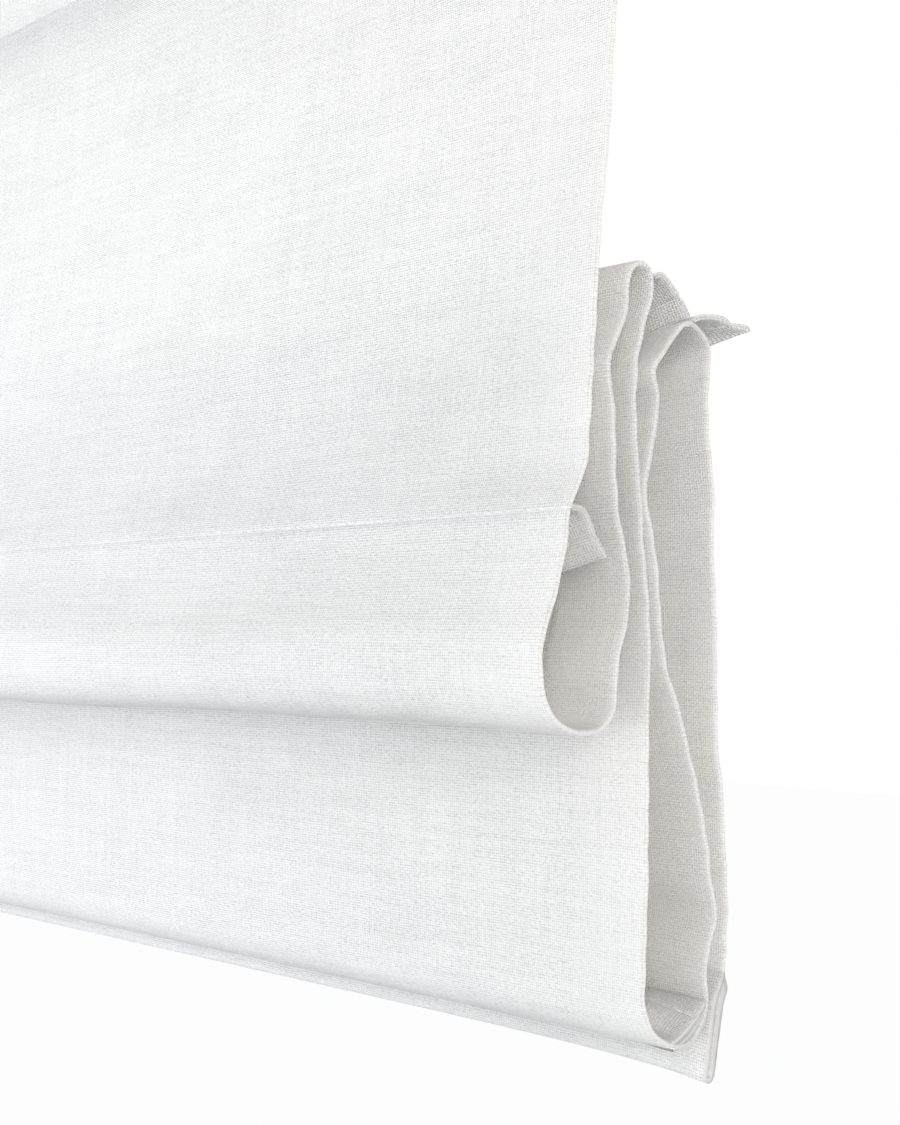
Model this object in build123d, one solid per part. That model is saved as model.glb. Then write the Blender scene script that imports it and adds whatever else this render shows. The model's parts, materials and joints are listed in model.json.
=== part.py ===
from build123d import *
import os
from math import asin, cos, radians, sin, sqrt

# Roman blind with a slim headrail, hanging partly raised.
# X runs across the blind, +Y towards the window behind it, +Z up.
# The origin is the middle of the four screw holes, on the top face of the brackets.

# Cloth
BLIND_WIDTH = 600.0
CLOTH_THICKNESS = 0.6
ROD_PITCH = 180.0
SIDE_HEM_WIDTH = 20.0
TOP_HEM_HEIGHT = 22.0
BOTTOM_HEM_HEIGHT = 24.0
CLOTH_TOP_DROP = 3.0

# How the cloth hangs, measured from the plane of the flat cloth under the headrail
FRONT_LEAN = 24.9
STACK_RAISE = 55.6
FIRST_LOOP_SLACK = 30.4
SECOND_FALL_SLACK = 6.9
SECOND_RISE_SLACK = 17.2
LAST_FALL_SLACK = 7.7
HEM_LEAN = 14.0
FIRST_RIDGE_ROUNDING = 2.4
SECOND_LOOP_ROUNDING = 0.8

# Rod pockets, sewn to the back of the cloth
POCKET_DEPTH = 16.5
POCKET_STITCH = 11.5
SOFT_CLEARANCE = 0.3

# Rods and their tips
ROD_RADIUS = 2.0
ROD_TIP_WALL = 0.5
ROD_TIP_LENGTH = 12.0
ROD_TIP_CAP = 1.5
ROD_TIP_ROUNDING = 1.2
ROD_END_INSET = 14.0

# Rings that the lift lines run through, a little above their rods
RING_RADIUS = 4.2
RING_WIRE_RADIUS = 0.8
RING_LIFT = 3.7

# Weighted bar in the bottom hem
BAR_WIDTH = 18.0
BAR_THICKNESS = 2.0
BAR_END_INSET = 16.0
BAR_CORNER_RADIUS = 4.0

# Headrail, a channel that is open at the top
RAIL_DEPTH = 40.0
RAIL_HEIGHT = 32.0
RAIL_WALL = 1.2
RAIL_LIP = 5.0
RAIL_LIP_TURN = 2.5
RAIL_CORNER_RADIUS = 1.0
CUT_LENGTH = 8.0
END_CAP_WALL = 2.0
END_CAP_PLUG_LENGTH = 8.0
END_CAP_PLUG_WALL = 1.6
FIT_CLEARANCE = 0.15

# Hook and loop tapes that hold the cloth to the headrail
TAPE_WIDTH = 20.0
HOOK_TAPE_THICKNESS = 1.0
LOOP_TAPE_THICKNESS = 1.2

# Clip brackets
BRACKET_INSET = 60.0
BRACKET_LENGTH = 36.0
BRACKET_DEPTH = 36.0
BRACKET_PLATE = 1.5
BRACKET_CORNER_RADIUS = 4.5
BRACKET_LEG_RIM = 3.0
BRACKET_TAB_LENGTH = 8.0
BRACKET_TAB_OFFSET = 11.0
BRACKET_HOOK = 3.0
SCREW_SPACING = 18.0
SCREW_HOLE_RADIUS = 2.25

# Lift shaft, cord drums and their cradles
LIFT_INSET = 100.0
SHAFT_FLATS = 6.0
SHAFT_INSET = 60.0
SHAFT_CLEARANCE = 0.1
BARREL_RADIUS = 8.0
BARREL_TAPER = 1.0
BARREL_LENGTH = 34.0
FLANGE_RADIUS = 11.0
FLANGE_THICKNESS = 1.5
JOURNAL_RADIUS = 5.0
JOURNAL_LENGTH = 4.0
JOURNAL_CLEARANCE = 0.08
DRUM_END_PLAY = 0.4
DRUM_FLOOR_GAP = 0.8
CRADLE_WALL = 3.0
CRADLE_BASE = 2.0
CRADLE_RIM = 3.0

# Outlets where the lift lines leave the headrail
OUTLET_BORE_RADIUS = 2.0
OUTLET_STEM_RADIUS = 3.8
OUTLET_FLANGE_RADIUS = 6.0
OUTLET_FLANGE_THICKNESS = 1.4

# Spring motor and one-way lock on the shaft
MOTOR_LENGTH = 64.0
LOCK_LENGTH = 30.0
UNIT_SIDE_GAP = 4.8
UNIT_TOP_GAP = 2.3
UNIT_CORNER_RADIUS = 3.0
UNIT_BOSS_RADIUS = 8.0
UNIT_BOSS_HEIGHT = 1.5
UNIT_RIB_COUNT = 5
UNIT_RIB_WIDTH = 1.5
UNIT_RIB_DEPTH = 0.8
UNIT_RIB_INSET = 6.0
UNIT_BORE_CLEARANCE = 0.4

# Places that follow from the sizes above
RAIL_LENGTH = BLIND_WIDTH - 2 * END_CAP_WALL
RAIL_TOP = -BRACKET_PLATE
RAIL_BOTTOM = RAIL_TOP - RAIL_HEIGHT
RAIL_FLOOR = RAIL_BOTTOM + RAIL_WALL
RAIL_FRONT = -RAIL_DEPTH / 2
RAIL_MOUTH = RAIL_DEPTH - 2 * RAIL_WALL - 2 * RAIL_LIP
CRADLE_DEPTH = RAIL_DEPTH - 2 * RAIL_WALL - 2 * FIT_CLEARANCE
SHAFT_Z = RAIL_FLOOR + CRADLE_BASE + DRUM_FLOOR_GAP + FLANGE_RADIUS
UNIT_DEPTH = RAIL_DEPTH - 2 * RAIL_WALL - 2 * UNIT_SIDE_GAP
UNIT_HEIGHT = RAIL_HEIGHT - RAIL_WALL - RAIL_LIP_TURN - UNIT_TOP_GAP
LINE_Y = -BARREL_RADIUS
CLOTH_Y = RAIL_FRONT - HOOK_TAPE_THICKNESS - LOOP_TAPE_THICKNESS - 1.5 * CLOTH_THICKNESS
CLOTH_TOP = RAIL_TOP - CLOTH_TOP_DROP
BRACKET_SPACING = BLIND_WIDTH - 2 * BRACKET_INSET
SHAFT_LENGTH = BLIND_WIDTH - 2 * SHAFT_INSET
LIFT_SPACING = BLIND_WIDTH / 2 - LIFT_INSET
LIFT_PLACES = [-LIFT_SPACING, 0.0, LIFT_SPACING]
UNIT_OFFSET = LIFT_SPACING / 2

ROD_1_Z = CLOTH_TOP - ROD_PITCH
ROD_2_Z = ROD_1_Z - ROD_PITCH
ROD_3_Z = ROD_2_Z - sqrt(ROD_PITCH**2 - FRONT_LEAN**2)
RIDGE_1_Z = ROD_3_Z + STACK_RAISE
LOOP_1_Z = ROD_3_Z - (ROD_PITCH - FIRST_LOOP_SLACK - STACK_RAISE) / 2
LOOP_2_Z = RIDGE_1_Z - (ROD_PITCH - SECOND_FALL_SLACK)
RIDGE_2_Z = LOOP_2_Z + (ROD_PITCH - SECOND_RISE_SLACK)
BOTTOM_Z = RIDGE_2_Z - (ROD_PITCH - LAST_FALL_SLACK)
HEM_TOP_Z = BOTTOM_Z + BOTTOM_HEM_HEIGHT * cos(radians(HEM_LEAN))

# Each stretch of the folded cloth: its two heights, then points along it.
# A point is its depth behind the flat cloth and its share of the way between the heights.
CLOTH_STRETCHES = [
    (
        (ROD_2_Z, ROD_3_Z),
        [(-7.5, 0.37), (-14.1, 0.66), (-17.4, 0.86), (-20.2, 0.945), (-FRONT_LEAN, 1.0)],
    ),
    (
        (ROD_3_Z, LOOP_1_Z),
        [(-29.3, 0.39), (-33.9, 0.66), (-33.4, 0.82), (-29.5, 0.93), (-23.5, 0.99), (-17.5, 1.0)],
    ),
    (
        (LOOP_1_Z, RIDGE_1_Z),
        [(-11.3, 0.016), (-8.9, 0.065), (-4.5, 0.25), (-7.4, 0.455), (-10.2, 0.64)]
        + [(-9.2, 0.81), (-4.0, 0.92), (1.8, 1.0)],
    ),
    (
        (RIDGE_1_Z, LOOP_2_Z),
        [(5.2, 0.016), (3.9, 0.052), (-1.2, 0.15), (-0.9, 0.30), (2.3, 0.46), (1.2, 0.76)]
        + [(1.2, 0.9), (6.3, 0.971), (13.0, 1.0)],
    ),
    (
        (LOOP_2_Z, RIDGE_2_Z),
        [(23.2, 0.024), (26.0, 0.08), (28.5, 0.17), (21.6, 0.34), (10.0, 0.53), (3.6, 0.75)]
        + [(6.5, 0.89), (10.8, 0.951), (19.6, 1.0)],
    ),
    (
        (RIDGE_2_Z, HEM_TOP_Z),
        [(26.8, 0.024), (27.2, 0.085), (28.6, 0.35), (31.5, 0.68), (32.6, 0.86), (30.9, 1.0)],
    ),
]
HEM_TOP_DEPTH = CLOTH_STRETCHES[-1][1][-1][0]

# Each rod pocket: depth and height of its seam, the angle it stands back at,
# and the rod's distance from the seam
POCKETS = {
    "1": (0.0, ROD_1_Z, -55.0, 6.4),
    "2": (0.0, ROD_2_Z, -55.0, 6.4),
    "3": (-FRONT_LEAN, ROD_3_Z, -38.0, 4.6),
    "4": (5.0, RIDGE_1_Z - FIRST_RIDGE_ROUNDING, -20.0, 5.0),
    "5": (10.0, LOOP_2_Z + SECOND_LOOP_ROUNDING, 40.0, 6.0),
    "6": (20.5, RIDGE_2_Z, 12.0, 7.6),
}
LIFTED_RODS = ("2", "4", "6")

POCKET_INSIDE_RADIUS = ROD_RADIUS + ROD_TIP_WALL + SOFT_CLEARANCE
POCKET_OUTSIDE_RADIUS = POCKET_INSIDE_RADIUS + CLOTH_THICKNESS
HEM_THICKNESS = BAR_THICKNESS + 2 * SOFT_CLEARANCE + 2 * CLOTH_THICKNESS
SAMPLES_PER_STRETCH = 24


def down_the_hem():
    """Direction in which the bottom hem hangs."""
    return Vector(0, -sin(radians(HEM_LEAN)), -cos(radians(HEM_LEAN)))


def pocket_plane(number, x=0.0):
    """Plane across a pocket, with its own X running from the seam to the free edge."""
    depth, height, angle, _ = POCKETS[number]
    direction = (0, cos(radians(angle)), sin(radians(angle)))
    return Plane(origin=(x, CLOTH_Y + depth, height), x_dir=direction, z_dir=(1, 0, 0))


def cloth_centre_line():
    """Centre line of the folded part of the cloth, seen from the side, and where its stretches end."""
    points = [Vector(0, CLOTH_Y, ROD_2_Z)]
    ends = [points[0]]
    for (start, end), stretch in CLOTH_STRETCHES:
        points += [Vector(0, CLOTH_Y + depth, start + share * (end - start)) for depth, share in stretch]
        ends.append(points[-1])
    line = Edge.make_spline(points, tangents=[Vector(0, 0, -1), down_the_hem()])
    return line, [line.param_at_point(end) for end in ends]


def offset_lines(distance):
    """One curve for each stretch of the cloth, at a distance behind its centre line."""
    line, ends = cloth_centre_line()
    curves = []
    for start, end in zip(ends, ends[1:]):
        places = [start + (end - start) * i / SAMPLES_PER_STRETCH for i in range(SAMPLES_PER_STRETCH + 1)]
        points = [line @ place + Vector(0, -(line % place).Z, (line % place).Y) * distance for place in places]
        curves.append(Edge.make_spline(points))
    return curves


def cloth_band(near, far):
    """Face of cloth between two distances behind the centre line, from the headrail down into the hem."""
    near_lines = offset_lines(near)
    far_lines = offset_lines(far)
    near_top = Vector(0, CLOTH_Y + near, CLOTH_TOP)
    far_top = Vector(0, CLOTH_Y + far, CLOTH_TOP)
    into_hem = down_the_hem() * (BOTTOM_HEM_HEIGHT / 2)
    near_end = near_lines[-1] @ 1 + into_hem
    far_end = far_lines[-1] @ 1 + into_hem
    edges = [
        Edge.make_line(far_top, near_top),
        Edge.make_line(near_top, near_lines[0] @ 0),
        *near_lines,
        Edge.make_line(near_lines[-1] @ 1, near_end),
        Edge.make_line(near_end, far_end),
        Edge.make_line(far_end, far_lines[-1] @ 1),
        *far_lines,
        Edge.make_line(far_lines[0] @ 0, far_top),
    ]
    return Face(Wire(edges))


def tapered_slot(start, start_radius, end, end_radius):
    """Two discs on the X axis, joined by their outer tangents."""
    lean = asin((start_radius - end_radius) / (end - start))
    corners = []
    for place, radius in ((start, start_radius), (end, end_radius)):
        corners.append((place + radius * sin(lean), radius * cos(lean)))
    outline = corners + [(x, -y) for x, y in reversed(corners)]
    body = make_face(Polyline(*outline, close=True))
    return Pos(start, 0) * Circle(start_radius) + Pos(end, 0) * Circle(end_radius) + body


def pocket_outline(rod_distance):
    """Outside of a pocket: a tube round the rod, then a flat sewn edge."""
    seam_to_rod = tapered_slot(rod_distance, POCKET_OUTSIDE_RADIUS, POCKET_STITCH, CLOTH_THICKNESS)
    tube = seam_to_rod + tapered_slot(0, CLOTH_THICKNESS, rod_distance, POCKET_OUTSIDE_RADIUS)
    edge_length = POCKET_DEPTH - POCKET_STITCH
    edge = Pos(POCKET_STITCH + edge_length / 2, 0) * Rectangle(edge_length, 2 * CLOTH_THICKNESS)
    return tube + edge


def pocket_hollow(rod_distance):
    """Inside of a pocket's tube."""
    return tapered_slot(rod_distance, POCKET_INSIDE_RADIUS, POCKET_STITCH - 2 * CLOTH_THICKNESS, CLOTH_THICKNESS / 2)


def along_x(face, start, end):
    """Solid between two places across the blind."""
    return extrude(Pos(start, 0, 0) * face, amount=end - start, dir=(1, 0, 0))


def bar_plane():
    """Middle of the bottom hem, with its own X running down the hem."""
    down = down_the_hem()
    back = Vector(0, cos(radians(HEM_LEAN)), -sin(radians(HEM_LEAN)))
    middle = Vector(0, CLOTH_Y + HEM_TOP_DEPTH, HEM_TOP_Z) + down * (BOTTOM_HEM_HEIGHT / 2)
    middle += back * (HEM_THICKNESS / 2 - CLOTH_THICKNESS / 2)
    return Plane(origin=middle, x_dir=down, z_dir=(1, 0, 0))


def make_fabric():
    """Cloth with its folds, side hems, top hem, bottom hem and six rod pockets, in one piece."""
    half = BLIND_WIDTH / 2
    skin = CLOTH_THICKNESS / 2
    cloth = along_x(cloth_band(-skin, skin), -half, half)
    for start, end in ((-half, -half + SIDE_HEM_WIDTH), (half - SIDE_HEM_WIDTH, half)):
        cloth += along_x(cloth_band(0, skin + CLOTH_THICKNESS), start, end)
    top_hem = Plane(origin=(0, CLOTH_Y + CLOTH_THICKNESS / 2, CLOTH_TOP - TOP_HEM_HEIGHT / 2))
    cloth += top_hem * Box(BLIND_WIDTH, 2 * CLOTH_THICKNESS, TOP_HEM_HEIGHT)
    hem = bar_plane() * RectangleRounded(BOTTOM_HEM_HEIGHT, HEM_THICKNESS, CLOTH_THICKNESS)
    cloth += along_x(hem, -half, half)
    for number, (_, _, _, rod_distance) in POCKETS.items():
        cloth += along_x(pocket_plane(number) * pocket_outline(rod_distance), -half, half)
    for number, (_, _, _, rod_distance) in POCKETS.items():
        cloth -= along_x(pocket_plane(number) * pocket_hollow(rod_distance), -half, half)
    bar_room = Rectangle(BAR_WIDTH + 2 * SOFT_CLEARANCE, BAR_THICKNESS + 2 * SOFT_CLEARANCE)
    cloth -= along_x(bar_plane() * bar_room, -half, half)
    return cloth


def make_rod(number):
    """Round glass-fibre rod in its pocket."""
    length = BLIND_WIDTH - 2 * ROD_END_INSET - 2 * ROD_TIP_CAP
    place = pocket_plane(number, -length / 2) * Pos(POCKETS[number][3], 0)
    return extrude(place * Circle(ROD_RADIUS), amount=length, dir=(1, 0, 0))


def make_rod_tips(number):
    """Two domed caps that keep the ends of a rod from wearing through the cloth."""
    radius = ROD_RADIUS + ROD_TIP_WALL
    end = BLIND_WIDTH / 2 - ROD_END_INSET
    tip = extrude(Circle(radius), amount=-ROD_TIP_LENGTH)
    tip = fillet(tip.edges().group_by(Axis.Z)[-1], ROD_TIP_ROUNDING)
    tip -= Pos(0, 0, -ROD_TIP_CAP) * extrude(Circle(ROD_RADIUS), amount=-ROD_TIP_LENGTH)
    centre = pocket_plane(number).from_local_coords((POCKETS[number][3], 0, 0))
    right = Plane(origin=(end, centre.Y, centre.Z), z_dir=(1, 0, 0)) * tip
    left = Plane(origin=(-end, centre.Y, centre.Z), z_dir=(-1, 0, 0)) * tip
    return Compound([right.solid(), left.solid()])


def make_rings(number):
    """Three level rings sewn behind a lifted pocket, resting on its tube."""
    rod = pocket_plane(number).from_local_coords((POCKETS[number][3], 0, 0))
    wire_to_rod = POCKET_OUTSIDE_RADIUS + RING_WIRE_RADIUS + SOFT_CLEARANCE
    behind_rod = RING_RADIUS + sqrt(wire_to_rod**2 - RING_LIFT**2)
    rings = []
    for x in LIFT_PLACES:
        ring = Pos(x, rod.Y + behind_rod, rod.Z + RING_LIFT) * Torus(RING_RADIUS, RING_WIRE_RADIUS)
        rings.append(ring.solid())
    return Compound(rings)


def make_bottom_bar():
    """Flat steel bar with rounded corners that weights the bottom hem."""
    length = BLIND_WIDTH - 2 * BAR_END_INSET
    bar = Box(BAR_WIDTH, BAR_THICKNESS, length)
    bar = fillet(bar.edges().filter_by(Axis.Y), BAR_CORNER_RADIUS)
    return bar_plane() * bar


def make_headrail():
    """Channel with turned lips at its open top and three holes in its floor."""
    inside = RAIL_HEIGHT - 2 * RAIL_WALL
    profile = RectangleRounded(RAIL_DEPTH, RAIL_HEIGHT, RAIL_CORNER_RADIUS)
    profile -= Rectangle(RAIL_DEPTH - 2 * RAIL_WALL, inside)
    profile -= Pos(0, RAIL_HEIGHT / 2 - RAIL_WALL / 2) * Rectangle(RAIL_MOUTH, RAIL_WALL)
    turn = Rectangle(RAIL_WALL, RAIL_LIP_TURN)
    for side in (-1, 1):
        place = Pos(side * (RAIL_MOUTH + RAIL_WALL) / 2, RAIL_HEIGHT / 2 - RAIL_LIP_TURN / 2)
        profile += place * turn
    section = Plane(origin=(-RAIL_LENGTH / 2, 0, RAIL_TOP - RAIL_HEIGHT / 2), x_dir=(0, 1, 0), z_dir=(1, 0, 0))
    rail = extrude(section * profile, amount=RAIL_LENGTH)
    for x in LIFT_PLACES:
        hole = Cylinder(OUTLET_STEM_RADIUS + FIT_CLEARANCE, CUT_LENGTH)
        rail -= Pos(x, LINE_Y, RAIL_BOTTOM) * hole
    return rail


def make_end_cap(side):
    """Moulded cap: a plate over the end of the headrail and a plug inside it."""
    plate = Box(END_CAP_WALL, RAIL_DEPTH, RAIL_HEIGHT)
    plate = fillet(plate.edges().filter_by(Axis.X), RAIL_CORNER_RADIUS)
    plug_depth = RAIL_DEPTH - 2 * RAIL_WALL - 2 * FIT_CLEARANCE
    plug_height = RAIL_HEIGHT - RAIL_LIP_TURN - RAIL_WALL - 2 * FIT_CLEARANCE
    plug = Box(END_CAP_PLUG_LENGTH, plug_depth, plug_height)
    hollow = Box(END_CAP_PLUG_LENGTH, plug_depth - 2 * END_CAP_PLUG_WALL, plug_height - 2 * END_CAP_PLUG_WALL)
    plug_z = -RAIL_HEIGHT / 2 + RAIL_WALL + FIT_CLEARANCE + plug_height / 2
    plug_x = -(END_CAP_WALL + END_CAP_PLUG_LENGTH) / 2
    cap = plate + Pos(plug_x, 0, plug_z) * (plug - hollow)
    turned = cap if side > 0 else mirror(cap, about=Plane.YZ)
    return Pos(side * (RAIL_LENGTH + END_CAP_WALL) / 2, 0, RAIL_TOP - RAIL_HEIGHT / 2) * turned


def make_bracket(side):
    """Pressed steel clip: a plate over the headrail and four tabs hooked under its lips."""
    plate = Box(BRACKET_LENGTH, BRACKET_DEPTH, BRACKET_PLATE)
    plate = fillet(plate.edges().filter_by(Axis.Z), BRACKET_CORNER_RADIUS)
    clip = Pos(0, 0, -BRACKET_PLATE / 2) * plate
    leg_y = RAIL_MOUTH / 2 - FIT_CLEARANCE - BRACKET_PLATE / 2
    leg_height = RAIL_LIP_TURN + FIT_CLEARANCE + BRACKET_PLATE
    leg = Box(BRACKET_TAB_LENGTH, BRACKET_PLATE, leg_height)
    hook = Box(BRACKET_TAB_LENGTH, BRACKET_HOOK, BRACKET_PLATE)
    for x in (-BRACKET_TAB_OFFSET, BRACKET_TAB_OFFSET):
        for way in (-1, 1):
            clip += Pos(x, way * leg_y, RAIL_TOP - leg_height / 2) * leg
            hook_y = way * (leg_y + BRACKET_PLATE / 2 + BRACKET_HOOK / 2)
            clip += Pos(x, hook_y, RAIL_TOP - leg_height + BRACKET_PLATE / 2) * hook
        window = Box(BRACKET_TAB_LENGTH, RAIL_MOUTH - 2 * BRACKET_LEG_RIM, BRACKET_PLATE)
        clip -= Pos(x, 0, -BRACKET_PLATE / 2) * window
    for y in (-SCREW_SPACING / 2, SCREW_SPACING / 2):
        clip -= Pos(0, y, -BRACKET_PLATE / 2) * Cylinder(SCREW_HOLE_RADIUS, BRACKET_PLATE)
    return Pos(side * BRACKET_SPACING / 2, 0, 0) * clip


def make_hook_tape():
    """Hook tape glued to the front of the headrail."""
    y = RAIL_FRONT - HOOK_TAPE_THICKNESS / 2
    return Pos(0, y, CLOTH_TOP - TAPE_WIDTH / 2) * Box(RAIL_LENGTH, HOOK_TAPE_THICKNESS, TAPE_WIDTH)


def make_loop_tape():
    """Loop tape sewn to the top hem of the cloth."""
    y = RAIL_FRONT - HOOK_TAPE_THICKNESS - LOOP_TAPE_THICKNESS / 2
    return Pos(0, y, CLOTH_TOP - TAPE_WIDTH / 2) * Box(RAIL_LENGTH, LOOP_TAPE_THICKNESS, TAPE_WIDTH)


def shaft_plane(x):
    """Plane across the shaft, with its own X towards the window."""
    return Plane(origin=(x, 0, SHAFT_Z), x_dir=(0, 1, 0), z_dir=(1, 0, 0))


def make_shaft():
    """Six-sided steel shaft through the drums, the motor and the lock."""
    section = RegularPolygon(SHAFT_FLATS / 2, 6, major_radius=False)
    return extrude(shaft_plane(-SHAFT_LENGTH / 2) * section, amount=SHAFT_LENGTH)


def make_drum(x):
    """Flanged cord drum that turns with the shaft: its barrel narrows so that turns slide along it."""
    end = BARREL_LENGTH / 2
    outline = [
        (-end - FLANGE_THICKNESS - JOURNAL_LENGTH, 0),
        (-end - FLANGE_THICKNESS - JOURNAL_LENGTH, JOURNAL_RADIUS),
        (-end - FLANGE_THICKNESS, JOURNAL_RADIUS),
        (-end - FLANGE_THICKNESS, FLANGE_RADIUS),
        (-end, FLANGE_RADIUS),
        (-end, BARREL_RADIUS),
        (end, BARREL_RADIUS - BARREL_TAPER),
        (end, FLANGE_RADIUS),
        (end + FLANGE_THICKNESS, FLANGE_RADIUS),
        (end + FLANGE_THICKNESS, JOURNAL_RADIUS),
        (end + FLANGE_THICKNESS + JOURNAL_LENGTH, JOURNAL_RADIUS),
        (end + FLANGE_THICKNESS + JOURNAL_LENGTH, 0),
    ]
    body = revolve(make_face(Polyline(*outline, close=True)), axis=Axis.X)
    length = BARREL_LENGTH + 2 * FLANGE_THICKNESS + 2 * JOURNAL_LENGTH
    bore = RegularPolygon(SHAFT_FLATS / 2 + SHAFT_CLEARANCE, 6, major_radius=False)
    bore_plane = Plane(origin=(-length / 2, 0, 0), x_dir=(0, 1, 0), z_dir=(1, 0, 0))
    body -= extrude(bore_plane * bore, amount=length)
    return Pos(x, 0, SHAFT_Z) * body


def make_cradle(x):
    """Moulded cradle on the headrail's floor, with two round-topped walls that carry a drum."""
    bore = JOURNAL_RADIUS + JOURNAL_CLEARANCE
    wall_inside = BARREL_LENGTH / 2 + FLANGE_THICKNESS + DRUM_END_PLAY
    length = 2 * (wall_inside + CRADLE_WALL)
    base = Pos(0, 0, RAIL_FLOOR + CRADLE_BASE / 2) * Box(length, CRADLE_DEPTH, CRADLE_BASE)
    height = SHAFT_Z - RAIL_FLOOR
    wall = Pos(0, -height / 2) * Rectangle(2 * (bore + CRADLE_RIM), height) + Circle(bore + CRADLE_RIM)
    wall += Pos(0, -height + CRADLE_BASE / 2) * Rectangle(CRADLE_DEPTH, CRADLE_BASE)
    foot = [
        (-CRADLE_DEPTH / 2, -height),
        (CRADLE_DEPTH / 2, -height),
        (bore + CRADLE_RIM, -height / 2),
        (-bore - CRADLE_RIM, -height / 2),
    ]
    wall += make_face(Polyline(*foot, close=True))
    wall -= Circle(bore)
    cradle = base
    for start in (-wall_inside - CRADLE_WALL, wall_inside):
        cradle += extrude(shaft_plane(start) * wall, amount=CRADLE_WALL)
    cradle -= Pos(0, LINE_Y, RAIL_FLOOR) * Cylinder(OUTLET_FLANGE_RADIUS, CUT_LENGTH)
    return Pos(x, 0, 0) * cradle


def make_outlet(x):
    """Smooth bush in the headrail's floor that a lift line runs through."""
    top = RAIL_FLOOR + CRADLE_BASE / 2
    bottom = RAIL_BOTTOM - OUTLET_FLANGE_THICKNESS
    outline = [
        (OUTLET_BORE_RADIUS, top),
        (OUTLET_STEM_RADIUS, top),
        (OUTLET_STEM_RADIUS, RAIL_BOTTOM),
        (OUTLET_FLANGE_RADIUS, RAIL_BOTTOM),
        (OUTLET_FLANGE_RADIUS, RAIL_BOTTOM - OUTLET_FLANGE_THICKNESS / 2),
        (OUTLET_FLANGE_RADIUS - OUTLET_FLANGE_THICKNESS / 2, bottom),
        (OUTLET_BORE_RADIUS + OUTLET_FLANGE_THICKNESS / 2, bottom),
        (OUTLET_BORE_RADIUS, RAIL_BOTTOM - OUTLET_FLANGE_THICKNESS / 2),
    ]
    section = Plane.XZ * make_face(Polyline(*outline, close=True))
    return Pos(x, LINE_Y, 0) * revolve(section, axis=Axis.Z)


def make_shaft_unit(x, length):
    """Closed moulded housing on the shaft, with a boss at each end and ribs over its top."""
    middle_z = RAIL_FLOOR + UNIT_HEIGHT / 2
    housing = Box(length, UNIT_DEPTH, UNIT_HEIGHT)
    housing = fillet(housing.edges().filter_by(Axis.X), UNIT_CORNER_RADIUS)
    unit = Pos(0, 0, middle_z) * housing
    boss_length = length + 2 * UNIT_BOSS_HEIGHT
    boss = extrude(shaft_plane(-boss_length / 2) * Circle(UNIT_BOSS_RADIUS), amount=boss_length)
    unit += boss
    rib_step = length / (UNIT_RIB_COUNT + 1)
    for i in range(UNIT_RIB_COUNT):
        rib_x = -length / 2 + rib_step * (i + 1)
        rib = Box(UNIT_RIB_WIDTH, UNIT_DEPTH - 2 * UNIT_RIB_INSET, 2 * UNIT_RIB_DEPTH)
        unit += Pos(rib_x, 0, RAIL_FLOOR + UNIT_HEIGHT) * rib
    bore_radius = SHAFT_FLATS / sqrt(3) + UNIT_BORE_CLEARANCE
    unit -= extrude(shaft_plane(-boss_length / 2) * Circle(bore_radius), amount=boss_length)
    return Pos(x, 0, 0) * unit


def make_parts():
    """All pieces, by name."""
    parts = {
        "fabric": make_fabric(),
        "headrail": make_headrail(),
        "end_cap_left": make_end_cap(-1),
        "end_cap_right": make_end_cap(1),
        "bracket_left": make_bracket(-1),
        "bracket_right": make_bracket(1),
        "hook_tape": make_hook_tape(),
        "loop_tape": make_loop_tape(),
        "lift_shaft": make_shaft(),
        "spring_motor": make_shaft_unit(-UNIT_OFFSET, MOTOR_LENGTH),
        "lift_lock": make_shaft_unit(UNIT_OFFSET, LOCK_LENGTH),
        "bottom_bar": make_bottom_bar(),
    }
    for name, x in zip(("left", "centre", "right"), LIFT_PLACES):
        parts["cord_drum_" + name] = make_drum(x)
        parts["drum_cradle_" + name] = make_cradle(x)
        parts["cord_outlet_" + name] = make_outlet(x)
    for number in POCKETS:
        parts["rod_" + number] = make_rod(number)
        parts["rod_tips_" + number] = make_rod_tips(number)
    for number in LIFTED_RODS:
        parts["rings_" + number] = make_rings(number)
    return parts


os.makedirs("parts", exist_ok=True)
for part_name, part in make_parts().items():
    export_step(part, "parts/" + part_name + ".step")
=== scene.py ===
"""Roman blind, partly raised: slub linen-look cloth in two hanging folds, with rod pockets, hems and a headrail.

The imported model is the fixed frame. This script gives it cloth, stitches, finishes, soft light and a camera.
Lengths in the dataclasses are millimetres, and X runs across the blind, +Y towards the window, +Z up.
"""

from __future__ import annotations

import json
import logging
import math
from dataclasses import dataclass, field
from enum import Enum
from typing import Any, Sequence

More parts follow.
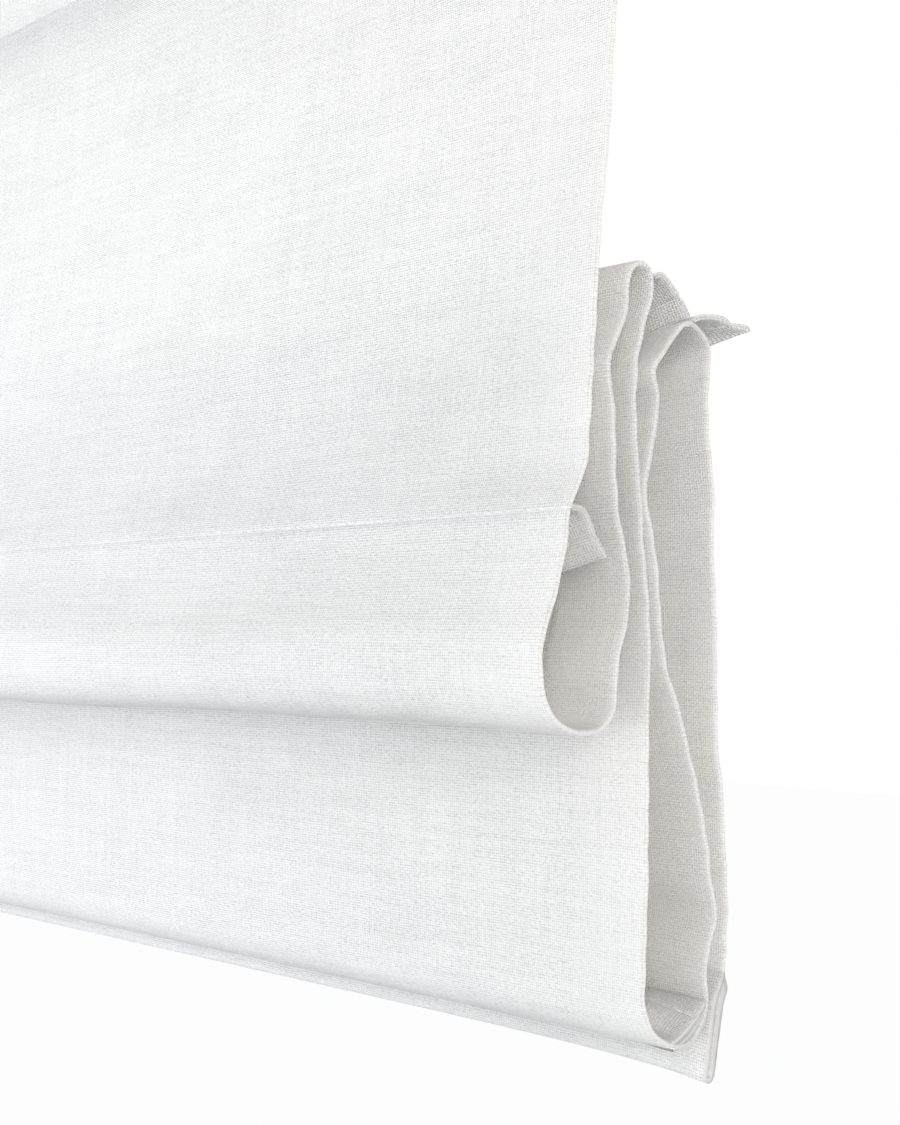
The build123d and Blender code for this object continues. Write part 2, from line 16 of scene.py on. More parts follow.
import bpy
import numpy as np
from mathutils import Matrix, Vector

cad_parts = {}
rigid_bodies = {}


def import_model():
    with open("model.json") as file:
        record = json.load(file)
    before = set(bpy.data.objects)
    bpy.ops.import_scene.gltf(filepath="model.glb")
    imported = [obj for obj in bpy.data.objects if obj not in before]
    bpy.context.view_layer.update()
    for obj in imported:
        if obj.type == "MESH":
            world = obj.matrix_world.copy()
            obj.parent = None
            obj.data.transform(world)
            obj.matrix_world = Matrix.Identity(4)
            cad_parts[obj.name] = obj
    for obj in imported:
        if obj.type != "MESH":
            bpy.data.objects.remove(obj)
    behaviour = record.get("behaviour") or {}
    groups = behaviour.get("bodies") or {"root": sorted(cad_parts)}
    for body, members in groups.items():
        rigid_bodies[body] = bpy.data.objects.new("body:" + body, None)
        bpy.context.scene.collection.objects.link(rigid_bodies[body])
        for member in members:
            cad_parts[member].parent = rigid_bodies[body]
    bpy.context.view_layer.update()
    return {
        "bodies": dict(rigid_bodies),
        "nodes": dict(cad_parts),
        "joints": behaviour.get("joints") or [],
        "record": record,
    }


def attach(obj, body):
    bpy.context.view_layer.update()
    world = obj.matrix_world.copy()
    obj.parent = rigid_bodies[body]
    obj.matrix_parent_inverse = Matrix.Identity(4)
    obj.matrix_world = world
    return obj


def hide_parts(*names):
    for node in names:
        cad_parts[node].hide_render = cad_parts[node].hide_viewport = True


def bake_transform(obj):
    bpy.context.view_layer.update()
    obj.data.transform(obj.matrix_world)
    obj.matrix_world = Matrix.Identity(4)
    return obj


LOG = logging.getLogger("roman_blind")

MM = 0.001
CLOTH_FRONT_PLANE = -23.1
CLOTH_TOP = -4.5
ROD_HEIGHTS = {"rod_1": -184.5, "rod_2": -364.5, "rod_3": -542.77}
STACK_LEVEL = ROD_HEIGHTS["rod_3"]
FRONT_ROD_POINT = 7

DAYLIGHT = (0.865, 0.905, 1.0)
ROOM_LIGHT = (1.0, 0.98, 0.985)
STACK_AIM = (0.1, 0.0, -0.5)


class Body(Enum):
    """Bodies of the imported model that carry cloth."""

    FIXED = "headrail_and_cloth"
    UPPER = "upper_rods"
    MIDDLE = "middle_rods"
    LOWER = "lower_rods"


# ---------------------------------------------------------------- shader maths


class Wire:
    """Output socket of a shader node that can be used in a Python expression."""

    def __init__(self, sheet: "Recipe", socket: bpy.types.NodeSocket) -> None:
        """Keeps the socket and the recipe that its new nodes go to."""
        self.sheet = sheet
        self.socket = socket

    def _maths(self, operation: str, *values: Any) -> "Wire":
        """Adds one Math node.

        Args:
            operation: The Math node's operation.
            values: Wires or numbers for its inputs.

        Returns:
            The result as a wire.
        """
        return self.sheet.node("ShaderNodeMath", {"operation": operation}, dict(enumerate(values)))

    def __add__(self, other: Any) -> "Wire":
        """Sum."""
        return self._maths("ADD", self, other)

    __radd__ = __add__

    def __sub__(self, other: Any) -> "Wire":
        """Difference."""
        return self._maths("SUBTRACT", self, other)

    def __rsub__(self, other: Any) -> "Wire":
        """Reflected difference."""
        return self._maths("SUBTRACT", other, self)

    def __mul__(self, other: Any) -> "Wire":
        """Product."""
        return self._maths("MULTIPLY", self, other)

    __rmul__ = __mul__

    def __truediv__(self, other: Any) -> "Wire":
        """Quotient."""
        return self._maths("DIVIDE", self, other)

    def __pow__(self, other: Any) -> "Wire":
        """Power."""
        return self._maths("POWER", self, other)

    def floor(self) -> "Wire":
        """Whole part."""
        return self._maths("FLOOR", self)

    def modulo(self, other: Any) -> "Wire":
        """Floored remainder."""
        return self._maths("FLOORED_MODULO", self, other)

    def sine(self) -> "Wire":
        """Sine."""
        return self._maths("SINE", self)

    def at_least(self, other: Any) -> "Wire":
        """Larger of two values."""
        return self._maths("MAXIMUM", self, other)

    def at_most(self, other: Any) -> "Wire":
        """Smaller of two values."""
        return self._maths("MINIMUM", self, other)

    def ramp(self, low: float, high: float, to_low: float = 0.0, to_high: float = 1.0) -> "Wire":
        """Maps a range to another one, smoothly and clamped.

        Args:
            low: Value that gives to_low.
            high: Value that gives to_high.
            to_low: Result at and below low.
            to_high: Result at and above high.

        Returns:
            The mapped value.
        """
        settings = {"interpolation_type": "SMOOTHSTEP", "clamp": True}
        values = {"Value": self, "From Min": low, "From Max": high, "To Min": to_low, "To Max": to_high}
        return self.sheet.node("ShaderNodeMapRange", settings, values)


class Recipe:
    """Node tree of one material, with one method that makes any node."""

    def __init__(self, name: str) -> None:
        """Starts an empty material.

        Args:
            name: Name of the material.
        """
        self.material = bpy.data.materials.new(name)
        self.material.use_nodes = True
        self.tree = self.material.node_tree
        self.tree.nodes.clear()

    def node(self, kind: str, settings: dict[str, Any] | None = None, values: dict[Any, Any] | None = None,
             output: str | int = 0) -> Wire:
        """Makes a node, sets it up and joins it.

        Args:
            kind: Type name of the node.
            settings: Properties, set first.
            values: Inputs by name or index: a wire is linked, anything else is set on the socket.
            output: Output that is returned.

        Returns:
            The chosen output.
        """
        made = self.tree.nodes.new(kind)
        for key, value in (settings or {}).items():
            setattr(made, key, value)
        for key, value in (values or {}).items():
            socket = made.inputs[key]
            if isinstance(value, Wire):
                self.tree.links.new(value.socket, socket)
            else:
                socket.default_value = value
        return Wire(self, made.outputs[output])

    def colour_mix(self, factor: Any, first: Any, second: Any) -> Wire:
        """Mixes two colours.

        Args:
            factor: Wire or number from 0 to 1.
            first: Colour at 0.
            second: Colour at 1.

        Returns:
            The mixed colour.
        """
        mixed = self.tree.nodes.new("ShaderNodeMix")
        mixed.data_type = "RGBA"
        sockets = {"Factor_Float": factor, "A_Color": first, "B_Color": second}
        for socket in mixed.inputs:
            if socket.identifier in sockets:
                value = sockets[socket.identifier]
                if isinstance(value, Wire):
                    self.tree.links.new(value.socket, socket)
                else:
                    socket.default_value = value
        result = [socket for socket in mixed.outputs if socket.identifier == "Result_Color"][0]
        return Wire(self, result)

    def coordinates(self, output: str) -> Wire:
        """Texture coordinates of the given kind."""
        return self.node("ShaderNodeTexCoord", output=output)

    def noise(self, vector: Wire, scale: float, detail: float = 2.0, roughness: float = 0.5) -> Wire:
        """Noise from 0 to 1.

        Args:
            vector: Coordinates.
            scale: Features per unit.
            detail: Octaves.
            roughness: Weight of the finer octaves.

        Returns:
            The noise value.
        """
        values = {"Vector": vector, "Scale": scale, "Detail": detail, "Roughness": roughness}
        return self.node("ShaderNodeTexNoise", None, values)

    def stretched(self, vector: Wire, scale: Sequence[float], shift: Sequence[float] = (0, 0, 0)) -> Wire:
        """Coordinates scaled and shifted by a Mapping node."""
        values = {"Vector": vector, "Location": tuple(shift), "Scale": tuple(scale)}
        return self.node("ShaderNodeMapping", None, values)

    def bump(self, height: Wire, distance: float, strength: float = 1.0) -> Wire:
        """Normal bent by a height.

        Args:
            height: Height from 0 to 1.
            distance: Metres of one unit of height.
            strength: Strength of the Bump node.

        Returns:
            The bent normal.
        """
        return self.node("ShaderNodeBump", None, {"Height": height, "Distance": distance, "Strength": strength})

    def finish(self, shader: Wire) -> bpy.types.Material:
        """Joins a shader to the material's output.

        Args:
            shader: The surface shader.

        Returns:
            The finished material.
        """
        self.node_output = self.tree.nodes.new("ShaderNodeOutputMaterial")
        self.tree.links.new(shader.socket, self.node_output.inputs["Surface"])
        return self.material

    def principled(self, values: dict[str, Any]) -> Wire:
        """Principled shader with the given inputs."""
        return self.node("ShaderNodeBsdfPrincipled", None, values)


def rgba(colour: Sequence[float]) -> tuple[float, float, float, float]:
    """Colour with full alpha."""
    return (*colour, 1.0)


def shade(colour: Sequence[float], factor: float) -> tuple[float, float, float, float]:
    """Colour made darker or lighter by a factor."""
    return (*(min(1.0, channel * factor) for channel in colour), 1.0)


# ---------------------------------------------------------------- finishes


@dataclass(frozen=True)
class SlubLinen:
    """White linen-look plain weave with slubs both ways, matt, letting a little light through, with painted shade in
    the gaps between its threads.
    """

    name: str = "slub_linen"
    colour: tuple[float, float, float] = (0.945, 0.937, 0.905)
    hem_lift: float = 1.0
    thread_pitch: float = 0.00062
    thread_height: float = 0.00010
    slub_height: float = 0.00012
    # How much darker the low tone is: painted shade in the thread gaps and nub hollows, and the yarn's own darker slubs
    # and streaks.
    contrast: float = 0.34
    roughness: float = 0.86
    sheen: float = 0.12
    let_through: float = 0.44

    def threads(self, recipe: Recipe, along: Wire, across: Wire, seed: float) -> tuple[Wire, Wire, Wire]:
        """One set of parallel threads.

        Args:
            recipe: The material's recipe.
            along: Coordinate along the threads, in metres.
            across: Coordinate across them, in metres.
            seed: Shift that makes this set differ from the other.

        Returns:
            The thread's rounded profile, its slub thickness and its number.
        """
        wander = recipe.noise(self._pair(recipe, along * 30.0, across * 70.0 + seed), 1.0, 2.0)
        count = across / self.thread_pitch + wander * 1.4
        number = count.floor()
        inside = count - number
        profile = (inside * math.pi).sine()
        places = self._pair(recipe, along * 44.0 + number * 7.31, number * 0.45 + seed)
        slub = recipe.noise(places, 1.0, 1.0)
        return profile, slub.ramp(0.45, 0.80), number

    def _pair(self, recipe: Recipe, first: Any, second: Any) -> Wire:
        """Two values as a vector."""
        return recipe.node("ShaderNodeCombineXYZ", None, {0: first, 1: second})

    def make(self) -> bpy.types.Material:
        """Builds the cloth's material.

        Returns:
            The material.
        """
        recipe = Recipe(self.name)
        map_place = recipe.node("ShaderNodeUVMap", {"uv_map": "cloth"})
        parts = recipe.tree.nodes.new("ShaderNodeSeparateXYZ")
        recipe.tree.links.new(map_place.socket, parts.inputs[0])
        across = Wire(recipe, parts.outputs[0])
        down = Wire(recipe, parts.outputs[1])
        hem = recipe.node("ShaderNodeAttribute", {"attribute_name": "hem"}, output="Fac")

        weft, weft_slub, weft_number = self.threads(recipe, across, down, 3.7)
        warp, warp_slub, warp_number = self.threads(recipe, down, across, 41.3)
        over = (weft_number + warp_number).modulo(2.0)
        weft_top = weft * (0.5 + over * 0.5)
        warp_top = warp * (1.0 - over * 0.5)
        weave = weft_top.at_least(warp_top)
        slubs = (weft_slub * weft).at_least(warp_slub * warp * 0.8)

        streaks = recipe.noise(self._pair(recipe, across * 26.0, down * 560.0), 1.0, 2.0, 0.55)
        posts = recipe.noise(self._pair(recipe, across * 560.0, down * 16.0 + 9.0), 1.0, 2.0, 0.55)
        nubs = recipe.noise(self._pair(recipe, across * 1050.0 + 5.0, down * 1400.0), 1.0, 1.0, 0.6)
        cloud = recipe.noise(self._pair(recipe, across * 26.0, down * 48.0), 1.0, 3.0)
        fleck = recipe.noise(self._pair(recipe, across * 260.0, down * 300.0), 1.0, 1.0)

        # Tone: the gaps between threads and the hollows between nubs get painted shade; slubs, streaks, posts and
        # clouds are the yarn's own uneven tone.
        tone = weave * 0.9 + nubs * 1.3 + slubs * 0.35 + streaks * 0.45 + posts * 0.35 + cloud * 0.25 - 1.0
        dark = shade(self.colour, 1.0 - self.contrast)
        light = shade(self.colour, 1.0 + self.contrast * 0.15)
        colour = recipe.colour_mix(tone.at_least(0.0).at_most(1.0), dark, light)
        colour = recipe.colour_mix(hem * 0.3, colour, shade(self.colour, self.hem_lift))
        colour = recipe.colour_mix(fleck.ramp(0.82, 0.845) * 0.7, colour, (0.33, 0.29, 0.22, 1.0))

        relief = weave * 0.9 + slubs * 0.6 + nubs * 0.7
        normal = recipe.bump(relief, self.thread_height + self.slub_height, 1.0)
        surface = recipe.principled({
            "Base Color": colour,
            "Roughness": self.roughness,
            "Specular IOR Level": 0.25,
            "Sheen Weight": self.sheen,
            "Sheen Roughness": 0.5,
            "Normal": normal,
        })
        glow = recipe.node("ShaderNodeBsdfTranslucent", None, {"Color": colour, "Normal": normal})
        mixed = recipe.node("ShaderNodeMixShader", None, {0: self.let_through, 1: surface, 2: glow})
        return recipe.finish(mixed)


@dataclass(frozen=True)
class SewingThread:
    """White spun polyester thread, twisted."""

    name: str = "sewing_thread"
    colour: tuple[float, float, float] = (0.87, 0.87, 0.86)

    def make(self) -> bpy.types.Material:
        """Builds the thread's material."""
        recipe = Recipe(self.name)
        place = recipe.coordinates("Object")
        twist = recipe.node("ShaderNodeTexWave", {"wave_type": "BANDS", "bands_direction": "DIAGONAL"},
                            {"Vector": place, "Scale": 1400.0, "Distortion": 0.6}, output="Fac")
        fuzz = recipe.noise(place, 5200.0, 2.0)
        # The thread is darker where its twist and fuzz are low, in the grooves: painted shade.
        colour = recipe.colour_mix(twist * 0.7 + fuzz * 0.3, shade(self.colour, 0.88), shade(self.colour, 1.05))
        normal = recipe.bump(twist * 0.7 + fuzz * 0.3, 0.00006, 0.7)
        shader = recipe.principled({
            "Base Color": colour, "Roughness": 0.6, "Sheen Weight": 0.15, "Normal": normal,
        })
        return recipe.finish(shader)


@dataclass(frozen=True)
class PlainFinish:
    """Sprayed, moulded or drawn surface with fine texture, cloudy colour and slight wear."""

    name: str
    colour: tuple[float, float, float]
    roughness: float
    metallic: float = 0.0
    coat: float = 0.0
    grain: tuple[float, float, float] = (900.0, 900.0, 900.0)
    grain_height: float = 0.00002
    spread: float = 0.05
    cloudy: float = 45.0

    def make(self) -> bpy.types.Material:
        """Builds the material."""
        recipe = Recipe(self.name)
        place = recipe.coordinates("Object")
        cloud = recipe.noise(place, self.cloudy, 4.0, 0.6)
        grain = recipe.noise(recipe.stretched(place, self.grain), 1.0, 3.0, 0.6)
        marks = recipe.noise(recipe.stretched(place, (160.0, 620.0, 620.0)), 1.0, 5.0, 0.7)
        tone = cloud.ramp(0.3, 0.7) * 0.6 + grain * 0.4
        colour = recipe.colour_mix(tone, shade(self.colour, 1.0 - self.spread), shade(self.colour, 1.0 + self.spread))
        worn = marks.ramp(0.60, 0.74)
        colour = recipe.colour_mix(worn * 0.18, colour, shade(self.colour, 0.8))
        rough = cloud * 0.12 + grain * 0.1 + worn * 0.1 + (self.roughness - 0.12)
        shader = recipe.principled({
            "Base Color": colour,
            "Metallic": self.metallic,
            "Roughness": rough,
            "Coat Weight": self.coat,
            "Coat Roughness": 0.2,
            "Normal": recipe.bump(grain, self.grain_height, 0.6),
        })
        return recipe.finish(shader)


@dataclass(frozen=True)
class TapeFinish:
    """Woven tape with a pile of small hooks or loops."""

    name: str
    colour: tuple[float, float, float]
    pile_pitch: float
    pile_height: float

    def make(self) -> bpy.types.Material:
        """Builds the tape's material."""
        recipe = Recipe(self.name)
        place = recipe.coordinates("Object")
        pile = recipe.node("ShaderNodeTexVoronoi", {"feature": "F1", "distance": "EUCLIDEAN"},
                           {"Vector": place, "Scale": 1.0 / self.pile_pitch}, output="Distance")
        fuzz = recipe.noise(place, 2400.0, 3.0)
        height = (1.0 - pile) * 0.8 + fuzz * 0.4
        # The tape is darker where its pile is low, between the hooks or loops: painted shade.
        colour = recipe.colour_mix(height.ramp(0.2, 1.0), shade(self.colour, 0.72), shade(self.colour, 1.03))
        shader = recipe.principled({
            "Base Color": colour, "Roughness": 0.75, "Sheen Weight": 0.2,
            "Normal": recipe.bump(height, self.pile_height, 0.9),
        })
        return recipe.finish(shader)


# ---------------------------------------------------------------- side view of the folds


class Stretch(Enum):
    """Stretches of cloth between its rods and loops, from the top down."""

    TOP = "cloth_top"
    MIDDLE = "cloth_middle"
    FRONT = "cloth_front_fold"
    FIRST_RISE = "cloth_first_rise"
    SECOND_FALL = "cloth_second_fall"
    SECOND_RISE = "cloth_second_rise"
    LAST_FALL = "cloth_last_fall"


@dataclass(frozen=True)
class SideView:
    """Side view of the cloth's middle line: depth behind the flat cloth and height above the front rod."""

    front: tuple[tuple[float, float], ...] = (
        (-7.5, 112.3), (-11.0, 80.4), (-14.1, 60.2), (-16.5, 38.0), (-18.1, 20.5), (-19.6, 9.6), (-25.0, 0.0),
        (-26.2, -8.0), (-29.5, -18.5), (-33.1, -26.4), (-34.0, -33.0), (-33.0, -38.8), (-30.6, -42.7),
        (-27.2, -45.2), (-22.6, -46.7), (-17.5, -47.0),
    )
    first_rise: tuple[tuple[float, float], ...] = (
        (-13.6, -46.6), (-10.9, -44.6), (-8.3, -40.6), (-8.2, -35.2), (-6.9, -29.3), (-4.6, -22.9), (-3.6, -16.8),
        (-4.8, -7.8), (-7.0, -0.4), (-8.0, 7.0), (-8.2, 13.5), (-8.7, 20.0), (-9.5, 26.1), (-10.6, 31.6),
        (-8.5, 36.3), (-3.7, 44.2), (-3.3, 50.2), (-1.8, 54.0), (1.4, 55.5),
    )
    second_fall: tuple[tuple[float, float], ...] = (
        (4.6, 54.3), (4.9, 51.2), (2.8, 45.5), (0.5, 39.4), (-1.1, 33.5), (-1.4, 27.5), (-1.2, 18.0), (0.1, 5.0),
        (1.2, -6.5), (2.7, -17.5), (3.2, -30.0), (2.7, -42.0), (2.7, -56.0), (1.6, -72.6), (1.4, -88.0),
        (1.2, -97.0), (0.9, -103.0), (1.0, -107.2), (2.3, -110.8), (4.9, -113.6), (8.0, -115.6), (11.0, -116.7),
    )
    second_rise: tuple[tuple[float, float], ...] = (
        (15.2, -117.4), (19.6, -116.2), (23.4, -113.2), (25.4, -108.9), (24.4, -103.0), (26.3, -96.8),
        (28.8, -90.0), (26.3, -82.0), (24.8, -72.9), (21.9, -62.0), (17.8, -50.6), (14.2, -41.4), (9.9, -33.2),
        (8.0, -25.0), (6.5, -14.0), (5.0, -4.5), (2.7, 5.0), (5.2, 13.0), (6.8, 19.8), (8.1, 26.4), (6.2, 32.6),
        (10.5, 37.4), (15.4, 42.2), (18.0, 44.3),
    )
    last_fall: tuple[tuple[float, float], ...] = (
        (20.8, 45.3), (25.0, 43.8), (28.7, 40.3), (27.7, 34.8), (27.0, 27.6), (26.7, 20.0), (28.3, 8.0),
        (28.3, -5.0), (29.5, -20.0), (29.1, -36.4), (29.2, -50.5), (31.7, -63.0), (32.2, -77.0), (32.6, -88.0),
        (31.7, -97.0), (31.2, -103.7),
    )
    edge_to_middle: float = 0.2

    def points(self) -> tuple[np.ndarray, dict[Stretch, tuple[int, int]]]:
        """All points from the top of the cloth to the end of the hem.

        Returns:
            An array of (depth, height above the origin) and, for each stretch, its first and last point's number.
        """
        top = [(0.0, z) for z in np.linspace(CLOTH_TOP, ROD_HEIGHTS["rod_1"], 5)]
        middle = [(0.0, z) for z in np.linspace(ROD_HEIGHTS["rod_1"], ROD_HEIGHTS["rod_2"], 5)[1:]]
        blocks: list[tuple[Stretch, Sequence[tuple[float, float]]]] = [
            (Stretch.TOP, top), (Stretch.MIDDLE, middle)]
        measured = {
            Stretch.FRONT: self.front, Stretch.FIRST_RISE: self.first_rise, Stretch.SECOND_FALL: self.second_fall,
            Stretch.SECOND_RISE: self.second_rise, Stretch.LAST_FALL: self.last_fall,
        }
        for stretch, points in measured.items():
            blocks.append((stretch, [(depth - self.edge_to_middle, height + STACK_LEVEL) for depth, height in points]))
        every: list[tuple[float, float]] = []
        spans: dict[Stretch, tuple[int, int]] = {}
        for stretch, points in blocks:
            first = max(len(every) - 1, 0)
            every += list(points)
            spans[stretch] = (first, len(every) - 1)
        return np.array(every, float), spans


def curve_through(points: np.ndarray, step: float) -> tuple[np.ndarray, np.ndarray]:
    """Centripetal Catmull-Rom curve.

    Args:
        points: Places that the curve passes, (N, D).
        step: Longest spacing of the samples.

    Returns:
        The samples and, for each of them, its place as a fractional point number.
    """
    ends = np.vstack([2 * points[0] - points[1], points, 2 * points[-1] - points[-2]])
    samples, places = [], []
    for i in range(len(points) - 1):
        a, b, c, d = ends[i:i + 4]
        t0 = 0.0
        t1 = t0 + max(np.linalg.norm(b - a), 1e-9) ** 0.5
        t2 = t1 + max(np.linalg.norm(c - b), 1e-9) ** 0.5
        t3 = t2 + max(np.linalg.norm(d - c), 1e-9) ** 0.5
        count = max(2, int(math.ceil(np.linalg.norm(c - b) / step)))
        for k in range(count):
            t = t1 + (t2 - t1) * k / count
            a1 = (t1 - t) / (t1 - t0) * a + (t - t0) / (t1 - t0) * b
            a2 = (t2 - t) / (t2 - t1) * b + (t - t1) / (t2 - t1) * c
            a3 = (t3 - t) / (t3 - t2) * c + (t - t2) / (t3 - t2) * d
            b1 = (t2 - t) / (t2 - t0) * a1 + (t - t0) / (t2 - t0) * a2
            b2 = (t3 - t) / (t3 - t1) * a2 + (t - t1) / (t3 - t1) * a3
            samples.append((t2 - t) / (t2 - t1) * b1 + (t - t1) / (t2 - t1) * b2)
            places.append(i + k / count)
    samples.append(points[-1])
    places.append(len(points) - 1.0)
    return np.array(samples), np.array(places)


def smoothstep(value: np.ndarray | float, low: float, high: float) -> np.ndarray:
    """Smooth step from 0 at low to 1 at high."""
    t = np.clip((np.asarray(value, float) - low) / (high - low), 0, 1)
    return t * t * (3 - 2 * t)


@dataclass(frozen=True)
class Ripples:
    """Smooth random unevenness over the cloth: a sum of plane waves."""

    seed: int
    wave_across: float
    wave_down: float
    waves: int = 9

    def height(self, across: np.ndarray, down: np.ndarray) -> np.ndarray:
        """Height from about -1 to 1.

        Args:
            across: Places across the cloth, in millimetres.
            down: Places down the cloth, in millimetres.

        Returns:
            The height at each place.
        """
        rng = np.random.RandomState(self.seed)
        total = np.zeros(np.broadcast(across, down).shape)
        for _ in range(self.waves):
            kx = 2 * math.pi / self.wave_across * rng.uniform(-1.3, 1.3)
            kz = 2 * math.pi / self.wave_down * rng.uniform(-1.3, 1.3)
            total = total + np.sin(kx * across + kz * down + rng.uniform(0, 2 * math.pi))
        return total / math.sqrt(self.waves)


# ---------------------------------------------------------------- meshes


def mesh_object(name: str, vertices: np.ndarray, faces: Sequence[np.ndarray], material: bpy.types.Material,
                uv: np.ndarray | None = None, hem: np.ndarray | None = None, normals: np.ndarray | None = None,
                flat_groups: Sequence[int] = ()) -> bpy.types.Object:
    """Makes a mesh object at the origin.

    Args:
        name: Name of the piece.
        vertices: Places in metres, (N, 3).
        faces: Groups of faces, each (M, corners).
        material: Its finish.
        uv: Place on the flat cloth of each vertex, (N, 2), in metres.
        hem: How far each vertex is in a hem, 0 to 1.
        normals: Vertex normals that are kept as they are, (N, 3).
        flat_groups: Numbers of the face groups that are shaded flat.

    Returns:
        The object, linked to the scene.
    """
    mesh = bpy.data.meshes.new(name)
    corners = np.concatenate([group.ravel() for group in faces]).astype(np.int32)
    sizes = np.concatenate([np.full(len(group), group.shape[1]) for group in faces]).astype(np.int32)
    smooth = np.concatenate([np.full(len(group), number not in flat_groups) for number, group in enumerate(faces)])
    mesh.vertices.add(len(vertices))
    mesh.vertices.foreach_set("co", vertices.astype(np.float32).ravel())
    mesh.loops.add(len(corners))
    mesh.loops.foreach_set("vertex_index", corners)
    mesh.polygons.add(len(sizes))
    mesh.polygons.foreach_set("loop_start", np.concatenate([[0], np.cumsum(sizes)[:-1]]).astype(np.int32))
    mesh.polygons.foreach_set("use_smooth", smooth)
    mesh.update(calc_edges=True)
    if uv is not None:
        layer = mesh.uv_layers.new(name="cloth")
        layer.data.foreach_set("uv", uv[corners].astype(np.float32).ravel())
    attribute = mesh.attributes.new("hem", "FLOAT", "POINT")
    attribute.data.foreach_set("value", (np.zeros(len(vertices)) if hem is None else hem).astype(np.float32))
    mesh.materials.append(material)
    if normals is not None:
        kept = normals[corners]
        kept[np.repeat(~smooth, sizes)] = 0.0
        mesh.normals_split_custom_set(kept.tolist())
    made = bpy.data.objects.new(name, mesh)
    bpy.context.collection.objects.link(made)
    return made


@dataclass
class ClothPiece:
    """One finished stretch of the cloth."""

    stretch: Stretch
    piece: bpy.types.Object
    length: float


